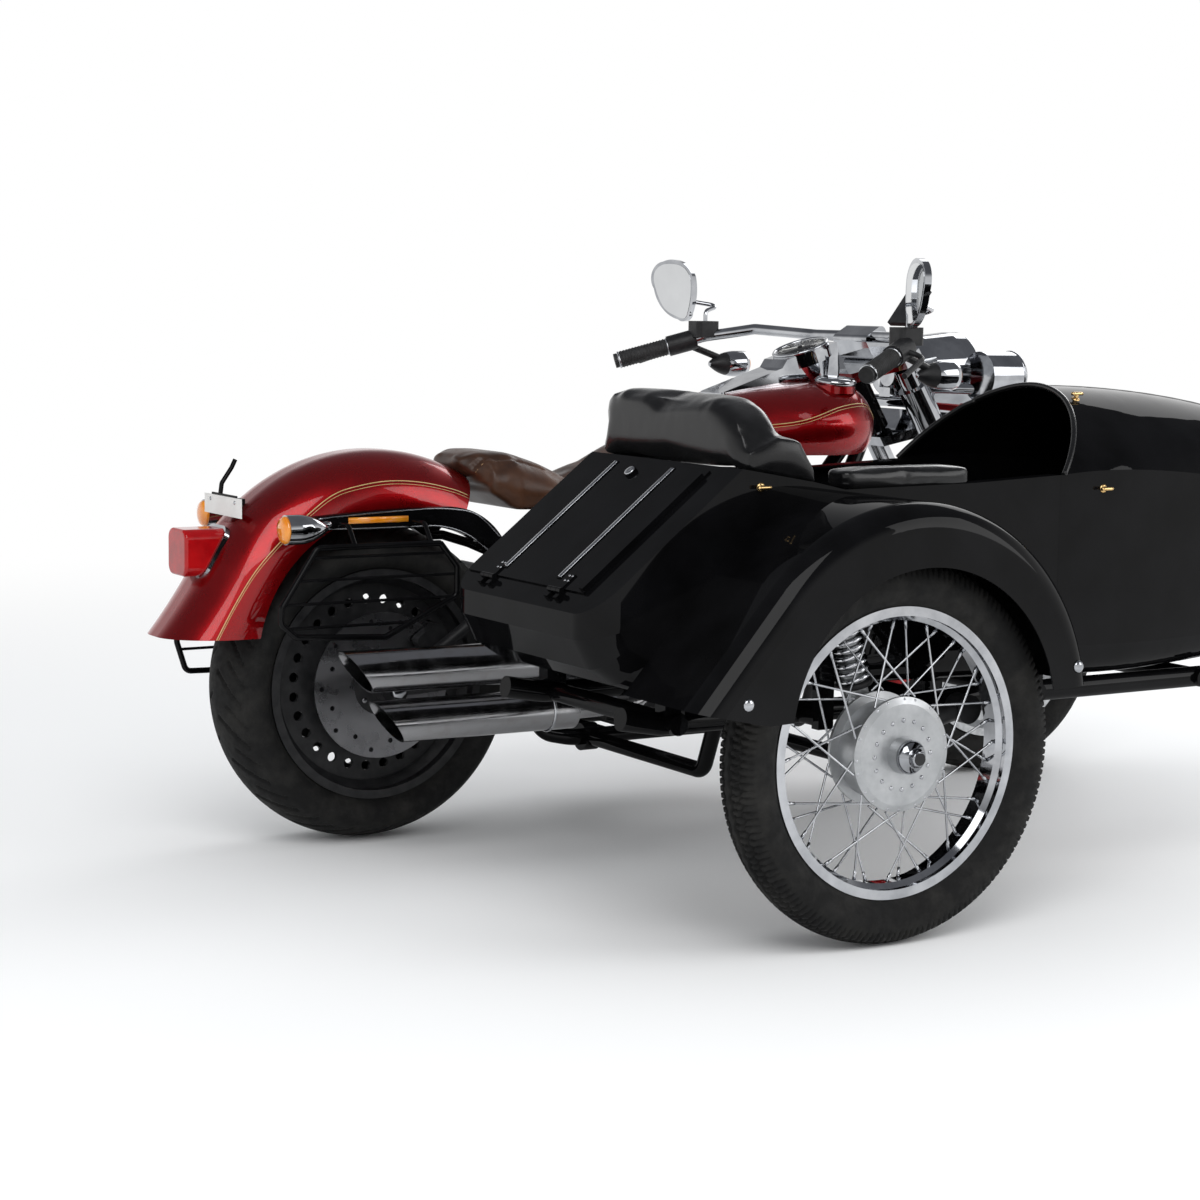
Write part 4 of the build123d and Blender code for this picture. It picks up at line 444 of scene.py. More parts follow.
def whole_pitch(radius, pitch):
    """The pitch nearest to the one given that goes round the tyre a whole number of times."""
    girth = 2 * math.pi * radius
    return girth / round(girth / pitch)


def zigzag_groove(radius, depth, block=26.0, rows=(9.0, 26.0), half=2.6, swing=5.0, sipe=0.15):
    """Blocks between zigzag rain grooves and cross sipes, which close up round the tyre."""
    pitch = whole_pitch(radius, block)

    def groove(along, y):
        phase = (along / pitch) % 1.0
        wave = swing * (abs(2 * phase - 1) - 0.5)
        if any(abs(abs(y) - row - wave) < half for row in rows):
            return depth
        return depth if abs(y) > rows[0] and (phase - abs(y) * 0.01) % 0.5 < sipe else 0.0
    return groove


def curved_groove(radius, half, depth):
    """Long curved grooves swept back from a plain centre rib, with short ones between them."""
    pitch = whole_pitch(radius, 92.0)

    def groove(along, y):
        outward = abs(y) / half
        shift = 0.0 if y > 0 else 0.5
        phase = (along / pitch + shift - 0.85 * outward ** 1.5) % 1.0
        wide = 0.07 + 0.04 * outward
        if 0.14 < outward < 0.92 and phase < wide:
            return depth
        if 0.50 < outward < 1.05 and 0.46 < phase < 0.52:
            return depth * 0.8
        return 0.0
    return groove


def tyres():
    # which, axle, radius, width, rim seat radius, flange height, half the bead's width, steps, tread
    for which, axle, radius, width, seat_r, flange_h, bead_half, around, tread in (
            ("rear", REAR_AXLE, 322.0, 200.0, 222.0, 12.0, 75.0, 640,
             curved_groove(322.0, half=80.0, depth=5.0)),
            ("front", FRONT_AXLE, 319.0, 136.0, 224.0, 12.0, 47.0, 640,
             curved_groove(319.0, half=54.0, depth=4.5)),
            ("sidecar", SIDECAR_AXLE, 336.0, 92.0, 241.0, 13.5, 27.0, 900,
             zigzag_groove(336.0, depth=6.0))):
        treaded_tyre(which + "_tyre_tread", which + "_tyre", which + "_wheel", axle, radius, width,
                     seat_r, flange_h, bead_half, around, tread)


# ---- Soft goods ---------------------------------------------------------------------------
FRAMES = 20                                  # steps of a pad's cloth simulation
RELAX_PASSES = 5
FACING = 0.6                                 # a normal's Z past which a face looks up or down


def padded(name, node, material, voxel, shrink, pressure, cap, pin=None,
           flat_top=False):
    """A pad blown up from its CAD solid by a short cloth simulation, by cap metres at most."""
    obj = bpy.data.objects.new(name, node_mesh(node).data.copy())
    bpy.context.scene.collection.objects.link(obj)
    remesh = obj.modifiers.new("remesh", "REMESH")
    remesh.mode, remesh.voxel_size = "VOXEL", voxel
    apply_modifiers(obj)
    mesh = obj.data
    mesh.update()
    normals = [v.normal.copy() for v in mesh.vertices]
    for v, n in zip(mesh.vertices, normals):
        if n.z > -FACING and not (flat_top and n.z > FACING):
            v.co -= n * shrink
    start = [v.co.copy() for v in mesh.vertices]
    cloth = obj.modifiers.new("cloth", "CLOTH")
    cloth.settings.use_pressure = True
    cloth.settings.uniform_pressure_force = pressure
    cloth.settings.effector_weights.gravity = 0.0
    cloth.settings.tension_stiffness = cloth.settings.compression_stiffness = 12.0
    if pin:
        group = obj.vertex_groups.new(name="pin")
        held = [v.index for v in mesh.vertices if pin(v.co)]
        group.add(held, 1.0, "REPLACE")
        cloth.settings.vertex_group_mass = "pin"
    scene = bpy.context.scene
    cloth.point_cache.frame_start, cloth.point_cache.frame_end = 1, FRAMES
    for number in range(1, FRAMES + 1):
        scene.frame_set(number)
    shape = obj.evaluated_get(bpy.context.evaluated_depsgraph_get()).to_mesh()
    moved = [v.co.copy() for v in shape.vertices]
    obj.modifiers.remove(cloth)
    for v, a, b in zip(obj.data.vertices, start, moved):
        step = b - a
        if step.length > cap:
            step *= cap / step.length
        v.co = a + step
    scene.frame_set(1)
    for _ in range(RELAX_PASSES):
        relax(obj.data, 0.5)
    subdivide = obj.modifiers.new("smooth", "SUBSURF")
    subdivide.levels = subdivide.render_levels = 1
    apply_modifiers(obj)
    obj.vertex_groups.clear()
    finish_piece(obj, material, "root", replaces=(node,))
    return obj


def apply_modifiers(obj):
    evaluated = obj.evaluated_get(bpy.context.evaluated_depsgraph_get())
    mesh = bpy.data.meshes.new_from_object(evaluated)
    obj.modifiers.clear()
    obj.data = mesh


def relax(mesh, weight):
    """One pass of neighbour averaging."""
    sums = [Vector() for _ in mesh.vertices]
    counts = [0] * len(mesh.vertices)
    for edge in mesh.edges:
        a, b = edge.vertices
        sums[a] += mesh.vertices[b].co
        sums[b] += mesh.vertices[a].co
        counts[a] += 1
        counts[b] += 1
    for v, total, count in zip(mesh.vertices, sums, counts):
        if count:
            v.co = v.co.lerp(total / count, weight)


def seam(obj, points, direction, depth, width):
    """Press a seam into a pad along a line that is laid on its surface."""
    line = laid_on(tree_of(obj), smooth_line(points, 10), direction, 0.0)
    low = Vector(min(p[i] for p, _ in line) - width for i in range(3))
    high = Vector(max(p[i] for p, _ in line) + width for i in range(3))
    for v in obj.data.vertices:
        if all(low[i] <= v.co[i] <= high[i] for i in range(3)):
            near, index = min(((v.co - p).length, i) for i, (p, _) in enumerate(line))
            if near < width:
                v.co -= line[index][1] * (depth * (0.5 + 0.5 * math.cos(math.pi * near / width)))


def stitches(name, obj, points, direction, material, body, slot, pitch=0.006, offset=0.0):
    """Short thread stitches along a line laid on a pad."""
    line = laid_on(tree_of(obj), smooth_line(points, 24), direction, 0.0002)
    parts, run = [], 0.0
    previous = line[0]
    begin = None
    for current in line[1:]:
        run += (current[0] - previous[0]).length
        if begin is None:
            begin = previous
        if run >= pitch * 0.66:
            a, b = begin[0], current[0]
            side = (b - a).cross(begin[1])
            if side.length > 0:
                shift = side.normalized() * offset
                a, b = a + shift, b + shift
            bow = (a + b) / 2 + begin[1] * 0.0005
            parts.append(tube([a - begin[1] * 0.0004, bow, b - begin[1] * 0.0004], 0.0006, 6))
            begin, run = None, -pitch * 0.34
            previous = current
            continue
        if run < 0:
            begin = None
        previous = current
    return piece(name, *merged(parts), material, body, slot)


def soft_goods():
    saddle = padded("saddle", "rider_seat", "brown_leather", 0.006, 0.004, 3.0,
                    0.010, pin=lambda p: p.z < at(0, 0, 715).z and abs(p.y - SHIFT.y) < 0.11)
    edge = ((199, 772), (241, 762), (280, 748), (319, 728), (359, 701))
    for side, tag in SIDES:
        line = [at(x, side * 90, z) for x, z in edge]
        seam(saddle, line, (0, -side * 0.35, -1), 0.004, 0.012)
        for row, shift in enumerate((-0.008, 0.008)):
            stitches(f"saddle_stitch_{tag}_{row}", saddle, line, (0, -side * 0.35, -1),
                     "thread_tan", "root", "brown_leather", offset=shift)
    # name, node, voxel, shrink, pressure, cap (metres), fill, flat top
    for name, node, voxel, shrink, pressure, cap, fill, flat_top in (
            ("sidecar_cushion", "sidecar_seat", 0.006, 0.006, 4.0, 0.018, 0.8, False),
            ("sidecar_back_pad", "sidecar_squab", 0.006, 0.006, 4.0, 0.014, 0.8, True),
            ("sidecar_roll", "sidecar_backrest", 0.006, 0.005, 3.5, 0.012, 0.9, False),
            ("sidecar_arm_pad", "sidecar_armrest", 0.004, 0.003, 3.0, 0.006, 0.9, False)):
        padded(name, node, "black_leather", voxel, shrink, pressure, cap,
               flat_top=flat_top)


# ---- Small parts --------------------------------------------------------------------------
HEAD_X = 1231.6                              # the steering axis at the head's top


def bolts(name, places, axis, radius, height, material, body, slot, hexed=False):
    """Places are millimetre points; radius and height are in millimetres too."""
    parts = [bolt(at(*p), axis, radius / 1000, height / 1000, hexed) for p in places]
    return piece(name, *merged(parts), material, body, slot)


def on_circle(centre, radius, angle, y):
    """A millimetre point on a circle about a Y axis."""
    return centre[0] + radius * math.cos(angle), y, centre[2] + radius * math.sin(angle)


def ring_of(centre, radius, count, y, start=0.0):
    return [on_circle(centre, radius, start + 2 * math.pi * k / count, y) for k in range(count)]


def hoop(centre, axis, radius, thick, steps=48, sides=10):
    """A ring of round section."""
    _, side, other = across(axis)
    path = [centre + (side * math.cos(2 * math.pi * k / steps)
                      + other * math.sin(2 * math.pi * k / steps)) * radius
            for k in range(steps)]
    return tube(path, thick, sides, closed=True)


def spoke_ends():
    """A nipple at each spoke's outer end and a head on the hub's flange at its inner end."""
    spokes, lean = 40, math.radians(34.0)
    nipples, heads = [], []
    for i in range(spokes):
        side = 1 if i % 2 else -1
        rim = 2 * math.pi * i / spokes
        hub = rim + lean * (1 if (i // 2) % 2 else -1)
        y = SIDECAR_AXLE[1]
        a = at(*on_circle(SIDECAR_AXLE, 102.0, hub, y + side * 34.5))
        b = at(*on_circle(SIDECAR_AXLE, 228.0, rim, y + side * 7.0))
        along = (b - a).normalized()
        nipples.append(spun([(-0.016, 0.0026), (-0.006, 0.0032), (0.0, 0.0034)], b, along, 10))
        heads.append(bolt(at(*on_circle(SIDECAR_AXLE, 95.0, hub, y + side * 37.5)), Y_UP * side,
                          0.0036, 0.0022))
    return nipples, heads


def wheel_parts():
    nipples, heads = spoke_ends()
    piece("spoke_nipples", *merged(nipples), "chrome", "sidecar_wheel", "chrome")
    piece("spoke_heads", *merged(heads), "chrome", "sidecar_wheel", "chrome")
    cx, cy, cz = SIDECAR_AXLE
    out = cy - 62.0
    dome = spun([(0.0, 0.029), (0.004, 0.030), (0.010, 0.026), (0.016, 0.018), (0.018, 0.0178)],
                at(cx, out, cz), Y_DOWN, 32)
    piece("hub_cap", *dome, "chrome", "sidecar_wheel", "chrome")
    bolts("hub_rivets", ring_of(SIDECAR_AXLE, 60.0, 16, cy - 41.5), Y_DOWN, 4.0, 2.6, "chrome",
          "sidecar_wheel", "chrome")
    bolts("axle_nut", [(cx, out - 19, cz)], Y_DOWN, 15.0, 8.0, "chrome", "root", "chrome", True)
    bolts("rear_disc_bolts", ring_of(REAR_AXLE, 48.0, 5, -93.5), Y_DOWN, 6.0, 4.0, "disc_steel",
          "rear_wheel", "steel", True)
    bolts("front_disc_bolts", ring_of(FRONT_AXLE, 48.0, 5, 72.5), Y_UP, 6.0, 4.0, "disc_steel",
          "front_wheel", "steel", True)
    for side, tag in SIDES:
        bolts("rear_axle_nut_" + tag, [(0, side * 165, 315)], Y_UP * side, 17.0, 12.0, "chrome",
              "root", "chrome", True)
        bolts("front_axle_cap_" + tag, [(1635, side * 150, 312)], Y_UP * side, 19.0, 10.0,
              "chrome", "steering", "chrome")


def spring():
    top, low = at(352, -1146, 590), at(404, -1146, 392)
    run, side, other = across(low - top)
    turns, per_turn, coil_r, wire_r = 8.5, 28, 0.027, 0.0042
    first, length = 0.034, 0.118                 # of the coil, along the shock from its top
    path = []
    for k in range(int(turns * per_turn) + 1):
        angle = 2 * math.pi * k / per_turn
        along = first + length * k / (turns * per_turn)
        path.append(top + run * along
                    + (side * math.cos(angle) + other * math.sin(angle)) * coil_r)
    piece("shock_spring", *tube(path, wire_r, 10), "spring_chrome", "root", "alloy")
    seats = [spun([(-0.005, 0.030), (-0.004, 0.032), (0.004, 0.032), (0.005, 0.030)],
                  top + run * s, run, 32) for s in (0.030, 0.156)]
    piece("spring_seats", *merged(seats), "black_satin", "root", "black_satin")


def dial_marks(centre, normal, east, north):
    """A long and a short mark in turn round a dial's sweep, and a hand at its start."""
    count, start, sweep = 25, 225.0, 270.0
    outer, long_inner, short_inner, thick = 0.051, 0.041, 0.046, 0.0004
    face = centre + normal * 0.0012
    parts = []
    for k in range(count):
        angle = math.radians(start - k * sweep / (count - 1))
        out = east * math.cos(angle) + north * math.sin(angle)
        inner, half = (long_inner, 0.0009) if k % 2 == 0 else (short_inner, 0.0005)
        wide = normal.cross(out) * half
        quad = [face + out * inner - wide, face + out * inner + wide,
                face + out * outer + wide, face + out * outer - wide]
        quad += [p + normal * thick for p in quad]
        parts.append((quad, [(0, 1, 2, 3), (4, 5, 6, 7), (0, 1, 5, 4), (1, 2, 6, 5),
                             (2, 3, 7, 6), (3, 0, 4, 7)]))
    angle = math.radians(start)
    out = east * math.cos(angle) + north * math.sin(angle)
    above = centre + normal * 0.003
    return parts + [tube([above - out * 0.010, above + out * 0.042], 0.0011, 6)]


def instruments():
    tilt = math.radians(19.5)
    normal = Vector((-math.sin(tilt), 0, math.cos(tilt)))
    east, north = Vector((0, -1, 0)), Vector((math.cos(tilt), 0, math.sin(tilt)))
    centre = at(HEAD_X - 148.6, 0, 990)
    piece("dial_bezel", *hoop(centre + normal * 0.001, normal, 0.0605, 0.0042), "chrome", "root",
          "chrome")
    piece("dial", *spun([(0.0, 0.058), (0.0012, 0.058)], centre, normal, 48), "dial_face", "root",
          "black_satin")
    piece("dial_marks", *merged(dial_marks(centre, normal, east, north)), "dial_mark", "root",
          "plate_white")
    piece("dial_boss", *spun([(0.001, 0.006), (0.004, 0.005), (0.005, 0.003)], centre, normal, 20),
          "black_satin", "root", "black_satin")
    for side, tag in SIDES:
        cap = at(HEAD_X - 132.0, side * 112.0, 916.0)
        up = Vector((0, side * 0.10, 1)).normalized()
        shell = spun([(-0.003, 0.0455), (0.004, 0.0465), (0.008, 0.0455), (0.0115, 0.040),
                      (0.0130, 0.028), (0.0136, 0.012)], cap, up, 48)
        piece("filler_cap_" + tag, *shell, "chrome", "root", "chrome")


def lamps_and_lenses():
    forward, lamp_z = Vector((1, 0, 0)), 930.0
    lens = [(-0.001, 0.0270), (0.003, 0.0265), (0.008, 0.022), (0.011, 0.012), (0.0115, 0.004)]
    for side, tag in SIDES:
        piece("rear_signal_lens_" + tag, *spun(lens, at(-259, side * 200, 647), -forward, 32),
              "amber_lens", "root", "red_lens")
        piece("front_signal_lens_" + tag,
              *spun(lens, at(HEAD_X - 32, side * 395, 942), forward, 32), "amber_lens",
              "steering", "red_lens")
        piece("passing_rim_" + tag,
              *hoop(at(HEAD_X + 313, side * 172, lamp_z), forward, 0.0540, 0.0042), "chrome",
              "steering", "chrome")
        reflector = tube([at(-100, side * 146.6, 655), at(31, side * 146.6, 655)], 0.0062, 12,
                         squash=0.35, up=(0, side, 0))
        piece("side_reflector_" + tag, *reflector, "amber_lens", "root", "red_lens")
        trims = []
        for points in (((-164, 661), (-74, 667), (38, 672), (118, 672), (186, 658), (240, 611)),
                       ((-164, 641), (-74, 639), (38, 639), (108, 637), (168, 617), (222, 578))):
            path = smooth_line([at(x, side * 146.4, z) for x, z in points], 8)
            trims.append(tube(path, 0.0016, 8))
        piece("strut_trim_" + tag, *merged(trims), "chrome", "root", "chrome")
    piece("headlamp_rim", *hoop(at(HEAD_X + 287, 0, lamp_z), forward, 0.0905, 0.0060, 64),
          "chrome", "steering", "chrome")
    bolts("plate_bolts", [(-303, y, 690) for y in (-60, 60)], -forward, 4.0, 2.5, "chrome",
          "root", "chrome")


def body_trim():
    bolts("fender_bolts", [(53, -1315, 449), (753, -1315, 467)], Y_DOWN, 11.0, 6.0, "chrome",
          "root", "chrome")
    tub = tree_of(node_mesh("sidecar_body"))
    studs = laid_on(tub, [at(227, -1092, 780), at(1000, -1092, 757)], (0, 1, 0), 0.0)
    studs += laid_on(tub, [at(1050, -950, 990), at(1161, -650, 990)], (0, 0, -1), 0.0)
    parts = []
    for p, n in studs:
        foot = 0.004
        parts += [bolt(p, n, 0.0085, foot), bolt(p + n * foot, n, 0.0045, 0.009)]
        wing = Vector((1, 0, 0)) - n * n.x
        parts.append(tube([p + n * 0.0115 + wing * k for k in (-0.013, -0.008, 0.0, 0.008, 0.013)],
                          0.0034, 10))
    piece("cover_studs", *merged(parts), "brass", "root", "chrome")
    # X and Z of the pinstripes, which are then laid on each side's surface
    ridge = [(-365, 430), (-322, 502), (-279, 565), (-225, 622), (-171, 668), (-116, 704),
             (-61, 720), (7, 728), (81, 723), (156, 706), (200, 688)]
    tank_line = [(742, 806), (840, 822), (968, 836), (1072, 866), (1150, 870), (1182, 840)]
    for side, tag in SIDES:
        inward = (0, -side, 0)
        for shift, width, row in ((0, 0.0022, "a"), (-6, 0.0012, "b")):
            path = [at(x, side * 118, z + shift) for x, z in ridge]
            line_on(f"fender_line_{tag}_{row}", "rear_fender", path, inward, width, "cream_line",
                    "root", "candy_red")
            path = [at(x, side * 200, z + shift) for x, z in tank_line]
            line_on(f"tank_line_{tag}_{row}", "fuel_tank", path, inward, width, "cream_line",
                    "root", "candy_red")


def engine_parts():
    cx, cz = 700.0, 318.0                        # the cam cover's middle
    bolts("cam_cover_bolts", ring_of((cx, 0, cz), 84.0, 8, -133.3, 0.3), Y_DOWN, 5.5, 3.5,
          "chrome", "root", "chrome")
    per_row, first_x, row_length = 7, 504, 220
    primary = []
    for k in range(per_row):
        x = first_x + row_length * k / (per_row - 1)
        primary += [(x, 166, cz + 83), (x, 166, cz - 103)]
    bolts("primary_bolts", primary, Y_UP, 5.0, 3.0, "chrome", "root", "chrome")
    air_z = 590
    rings = [hoop(at(cx, -220.5, air_z), Y_UP, 0.055, 0.0022),
             hoop(at(cx, -134, cz), Y_UP, 0.060, 0.0022)]
    piece("cover_rings", *merged(rings), "black_satin", "root", "black_satin")
    bolts("air_cover_bolt", [(cx, -220, air_z)], Y_DOWN, 9.0, 5.0, "chrome", "root", "chrome")
    bands = [hoop(at(x, -300, z), (1, 0, 0), 0.0425, 0.0030) for x, z in ((330, 376), (262, 277))]
    piece("muffler_bands", *merged(bands), "chrome", "root", "chrome")


def grip_trim(side, tag):
    """Ribs along a grip and a bright ring at each of its ends."""
    inner, outer = Vector((HEAD_X - 147, 392, 1006)), Vector((HEAD_X - 327, 485, 948))
    run = (outer - inner).normalized()
    end = (outer - inner).length
    axis = Vector((run.x, side * run.y, run.z))

    def round_bar(along, radius, thick, sides):
        p = inner + run * along
        return hoop(at(p.x, side * p.y, p.z), axis, radius, thick, 28, sides)

    ribs = [round_bar(end - 114 + k * 7.4, 0.0187, 0.0017, 6) for k in range(15)]
    piece("grip_ribs_" + tag, *merged(ribs), "rubber_black", "steering", "rubber")
    rings = [round_bar(along, 0.0182, 0.0026, 8) for along in (end - 121, end - 3)]
    piece("grip_rings_" + tag, *merged(rings), "chrome", "steering", "chrome")


def signal_shell(side, tag):
    """A bullet: it swells as a sine's power up to 72% of its length, then stays full."""
    length, radius, full, power = 0.096, 0.0304, 0.72, 0.72
    profile = [(0.0, 0.0058)] + [
        (length * t, radius * math.sin(math.pi / 2 * min(1, t / full)) ** power + 0.0004)
        for t in (0.06, 0.14, 0.24, 0.36, 0.5, 0.64, 0.8, 0.9, 0.998)]
    piece("signal_shell_" + tag, *spun(profile, at(HEAD_X - 128, side * 395, 942), (1, 0, 0)),
          "chrome", "steering", "chrome")


def mirror_glass(side, tag):
    """A thin pane on the mirror's face, which is turned in towards the rider."""
    turn, face = math.radians(20), 0.0072
    outline = [(51, 28), (24, 54), (-28, 57), (-55, 36), (-50, 0), (-23, -46), (18, -66),
               (38, -68), (47, -52), (54, -14)]  # inward and up from the middle
    normal = Vector((-math.cos(turn), -side * math.sin(turn), 0))
    inward = Vector((math.sin(turn), -side * math.cos(turn), 0))
    centre = at(HEAD_X - 147 - 39, side * 464, 1117) + normal * face
    flat = smooth_line([centre + inward * (x / 1000) + Vector((0, 0, z / 1000))
                        for x, z in outline], 6, closed=True)
    thick = [p + normal * 0.0006 for p in flat]
    count = len(flat)
    faces = [tuple(range(count)), tuple(range(count, 2 * count))]
    faces += [(k, (k + 1) % count, count + (k + 1) % count, count + k) for k in range(count)]
    piece("mirror_glass_" + tag, flat + thick, faces, "mirror_glass", "steering", "chrome", False)


def rider_parts():
    for side, tag in SIDES:
        grip_trim(side, tag)
        signal_shell(side, tag)
        ribs = [tube([at(880, side * y, 308.5), at(1110, side * y, 308.5)], 0.0035, 8, squash=0.6,
                     up=(0, 0, 1)) for y in range(208, 296, 14)]
        piece("board_ribs_" + tag, *merged(ribs), "rubber_black", "root", "rubber")
        mirror_glass(side, tag)


DECK_LOW, DECK_HIGH = (-109.0, 574.0), (190.0, 812.0)     # X and Z of the boot deck's edges


def deck(s, y, h):
    """A point on the boot's sloping deck: up the slope, across and off the surface."""
    angle = math.atan2(DECK_HIGH[1] - DECK_LOW[1], DECK_HIGH[0] - DECK_LOW[0])
    return at(DECK_LOW[0] + s * math.cos(angle) - h * math.sin(angle), y,
              DECK_LOW[1] + s * math.sin(angle) + h * math.cos(angle))


def lid_trim():
    """Two bright strips up the lid, its lock and the screws of its hinges."""
    up = deck(0, 0, 1) - deck(0, 0, 0)
    strips = []
    for y in (-708, -897):
        line = [deck(s, y, 5.0) for s in (68, 70, 110, 210, 310, 358, 360)]
        strips.append(tube(line, 0.0062, 12, squash=0.32, up=tuple(up)))
    piece("lid_strips", *merged(strips), "chrome", "boot_lid", "chrome")
    lock = spun([(0.0, 0.0115), (0.003, 0.0115), (0.0042, 0.009), (0.0036, 0.004)],
                deck(337, -787, 7.2), up, 28)
    piece("lid_lock", *lock, "chrome", "boot_lid", "chrome")
    heads = [bolt(deck(62 + 12 * k, y + dy, 6.2), up, 0.0026, 0.0016)
             for y in (-694, -931) for dy in (-5, 5) for k in (0, 1)]
    piece("hinge_screws", *merged(heads), "chrome", "boot_lid", "chrome")


def cockpit_bead():
    """A rolled bead round the cowl's arch, laid on the body's own edge."""
    foot, crest = at(907, 0, 784), at(1038, 0, 935)
    slope = (crest - foot).normalized()
    normal = Vector((-slope.z, 0, slope.x))
    middle = Vector((foot.x, at(0, -837, 0).y, foot.z - 0.05))
    step = 0.05                                  # radians between points of the bead
    outermost = {}
    for v in node_mesh("sidecar_body").data.vertices:
        if abs((v.co - foot).dot(normal)) < 0.0015 and v.co.z > foot.z - 0.004:
            out = v.co - middle
            key = round(math.atan2(out.z, out.y) / step)
            if key not in outermost or out.length > (outermost[key] - middle).length:
                outermost[key] = v.co.copy()
    points = [outermost[key] for key in sorted(outermost)]
    piece("cowl_bead", *tube(smooth_line(points, 4), 0.0055, 10), "black_leather", "root",
          "black_leather")


# ---- Stage --------------------------------------------------------------------------------
def aim_camera(scene):
    yaw, pitch, roll = math.radians(58.7), math.radians(6.9), math.radians(0.8)
    forward = Vector((math.cos(yaw) * math.cos(pitch), math.sin(yaw) * math.cos(pitch),
                      -math.sin(pitch)))
    right = Vector((math.sin(yaw), -math.cos(yaw), 0))
    up = right.cross(forward)
    right, up = (right * math.cos(roll) + up * math.sin(roll),
                 up * math.cos(roll) - right * math.sin(roll))
    camera = bpy.data.objects.new("camera", bpy.data.cameras.new("camera"))
    camera.data.sensor_width, camera.data.lens = 36.0, 76.5
    camera.data.clip_end = 100.0
    camera.matrix_world = Matrix.Translation(at(-2264.7, -4660.7, 1108.6)) @ Matrix(
        (right, up, -forward)).transposed().to_4x4()
    scene.collection.objects.link(camera)
    scene.camera = camera


def hang_lights(scene):
    for name, place, aim, size, power in (
            ("key", (-2.6, -3.6, 4.2), (0, 0, 0.4), 3.4, 120.0),
            ("fill", (3.4, -4.0, 2.8), (0, 0, 0.5), 3.0, 70.0),
            ("back", (4.6, 2.6, 3.2), (0, 0, 0.4), 3.0, 80.0)):
        light = bpy.data.lights.new(name, "AREA")
        light.size, light.energy = size, power
        lamp = bpy.data.objects.new(name, light)
        lamp.location = place
        lamp.rotation_euler = (Vector(aim) - Vector(place)).to_track_quat("-Z", "Y").to_euler()
        scene.collection.objects.link(lamp)


def eased(nodes, low, high):
    """A node that rises smoothly from 0 to 1 between two values."""
    node = nodes.new("ShaderNodeMapRange")
    node.interpolation_type = "SMOOTHSTEP"
    for index, number in ((1, low), (2, high), (3, 0.0), (4, 1.0)):
        node.inputs[index].default_value = number
    return node


def paint_world(scene):
    """A studio seen white round the horizon and grey overhead, with its own plain light."""
    world = bpy.data.worlds.new("world")
    scene.world = world
    world.use_nodes = True
    nodes, links = world.node_tree.nodes, world.node_tree.links
    nodes.clear()
    output = nodes.new("ShaderNodeOutputWorld")
    seen, light = nodes.new("ShaderNodeBackground"), nodes.new("ShaderNodeBackground")
    coords, height = nodes.new("ShaderNodeTexCoord"), nodes.new("ShaderNodeSeparateXYZ")
    fade, sky = eased(nodes, 0.16, 0.62), nodes.new("ShaderNodeMix")
    sky.data_type = "RGBA"
    sky.inputs[6].default_value = (1.0, 1.0, 1.0, 1.0)
    sky.inputs[7].default_value = (0.16, 0.165, 0.18, 1.0)
    links.new(coords.outputs["Generated"], height.inputs[0])
    links.new(height.outputs["Z"], fade.inputs[0])
    links.new(fade.outputs[0], sky.inputs[0])
    links.new(sky.outputs[2], seen.inputs[0])
    light.inputs[0].default_value = (0.96, 0.98, 1.0, 1.0)
    light.inputs[1].default_value = 0.75
    mix = nodes.new("ShaderNodeMixShader")
    path = nodes.new("ShaderNodeLightPath")
    total = path.outputs["Is Camera Ray"]
    for other in ("Is Glossy Ray", "Is Transmission Ray"):
        join = nodes.new("ShaderNodeMath")
        join.operation = "MAXIMUM"
        links.new(total, join.inputs[0])
        links.new(path.outputs[other], join.inputs[1])
        total = join.outputs[0]
    links.new(total, mix.inputs[0])
    links.new(light.outputs[0], mix.inputs[1])
    links.new(seen.outputs[0], mix.inputs[2])
    links.new(mix.outputs[0], output.inputs[0])


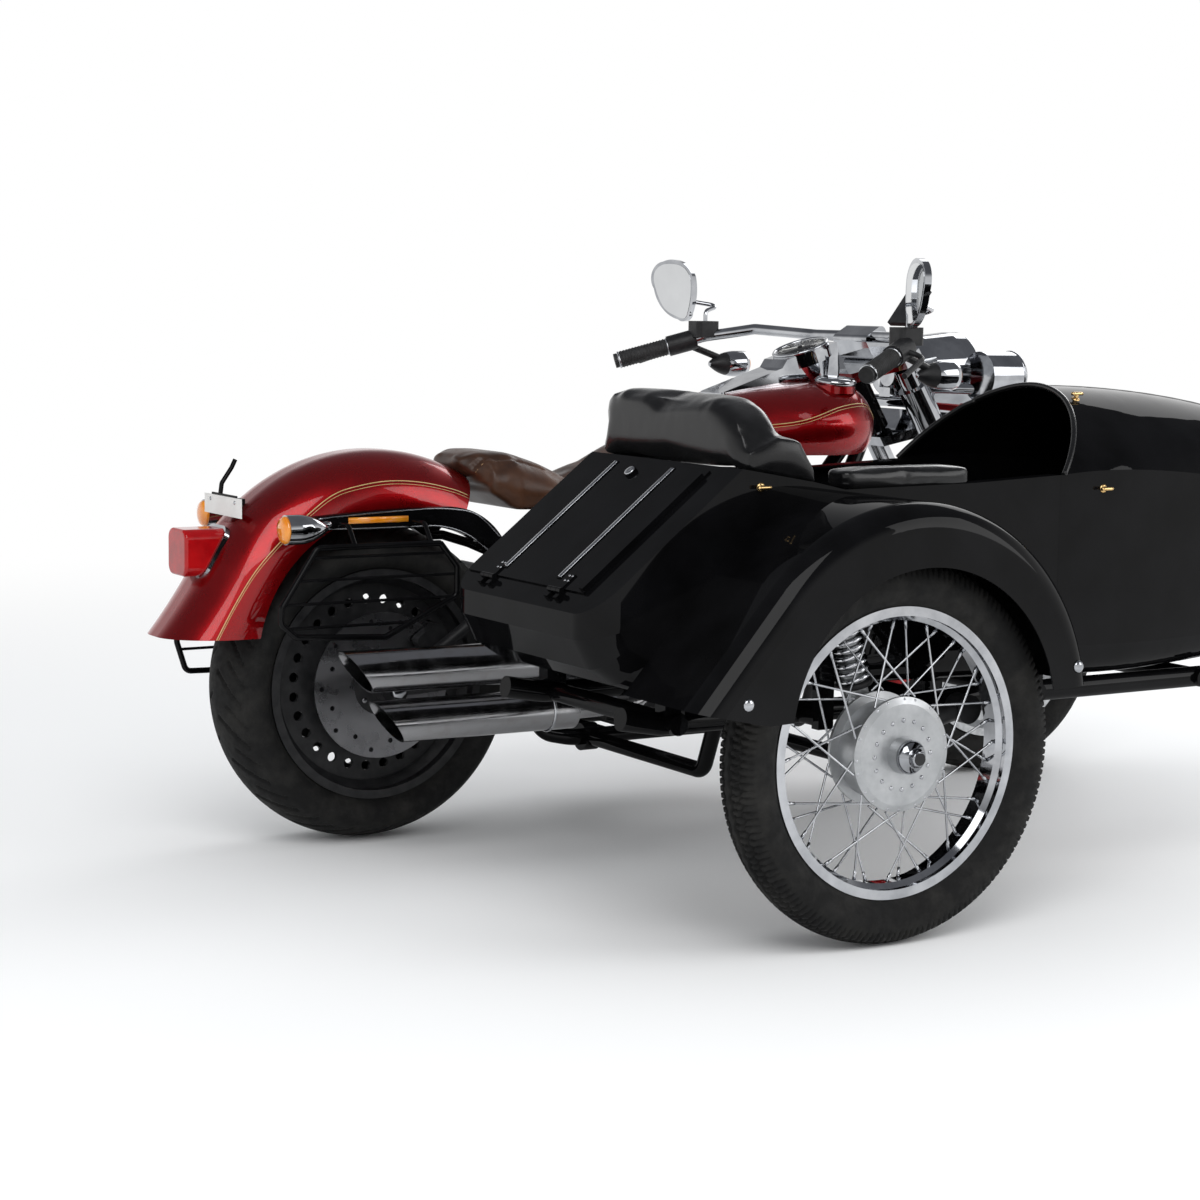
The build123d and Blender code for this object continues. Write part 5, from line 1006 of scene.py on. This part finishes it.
def lay_floor(scene):
    """A round floor whose rings widen outward."""
    rings, spokes, reach = 24, 64, 14.0
    verts, faces = [(0, 0, 0)], []
    for i in range(1, rings + 1):
        r = reach * (i / rings) ** 1.6
        verts += [(r * math.cos(2 * math.pi * k / spokes), r * math.sin(2 * math.pi * k / spokes),
                   0) for k in range(spokes)]
    for k in range(spokes):
        n = (k + 1) % spokes
        faces.append((0, 1 + k, 1 + n))
        for i in range(rings - 1):
            a, b = 1 + i * spokes, 1 + (i + 1) * spokes
            faces.append((a + k, b + k, b + n, a + n))
    mesh = bpy.data.meshes.new("floor")
    mesh.from_pydata(verts, [], faces)
    floor = bpy.data.objects.new("floor", mesh)
    floor.location.z = -0.0005
    scene.collection.objects.link(floor)
    mesh.materials.append(floor_material(reach))


def floor_material(reach):
    """A pale floor that takes shadows near the object and fades to white."""
    mat = bpy.data.materials.new("studio_floor")
    mat.use_nodes = True
    nodes, links = mat.node_tree.nodes, mat.node_tree.links
    bsdf = nodes["Principled BSDF"]
    bsdf.inputs["Base Color"].default_value = (0.95, 0.95, 0.95, 1)
    bsdf.inputs["Roughness"].default_value = 0.85
    bsdf.inputs["Specular IOR Level"].default_value = 0.1
    glow = nodes.new("ShaderNodeEmission")
    mix = nodes.new("ShaderNodeMixShader")
    coords = nodes.new("ShaderNodeTexCoord")
    length = nodes.new("ShaderNodeVectorMath")
    length.operation = "LENGTH"
    fade = eased(nodes, 1.6, reach * 0.42)
    links.new(coords.outputs["Object"], length.inputs[0])
    links.new(length.outputs["Value"], fade.inputs[0])
    links.new(fade.outputs[0], mix.inputs[0])
    links.new(bsdf.outputs[0], mix.inputs[1])
    links.new(glow.outputs[0], mix.inputs[2])
    links.new(mix.outputs[0], nodes["Material Output"].inputs[0])
    return mat


def stage():
    scene = bpy.context.scene
    scene.view_settings.view_transform = "Standard"
    aim_camera(scene)
    hang_lights(scene)
    paint_world(scene)
    lay_floor(scene)


build_materials()
dress_nodes()
tyres()
soft_goods()
wheel_parts()
spring()
instruments()
lamps_and_lenses()
body_trim()
engine_parts()
rider_parts()
lid_trim()
cockpit_bead()
stage()
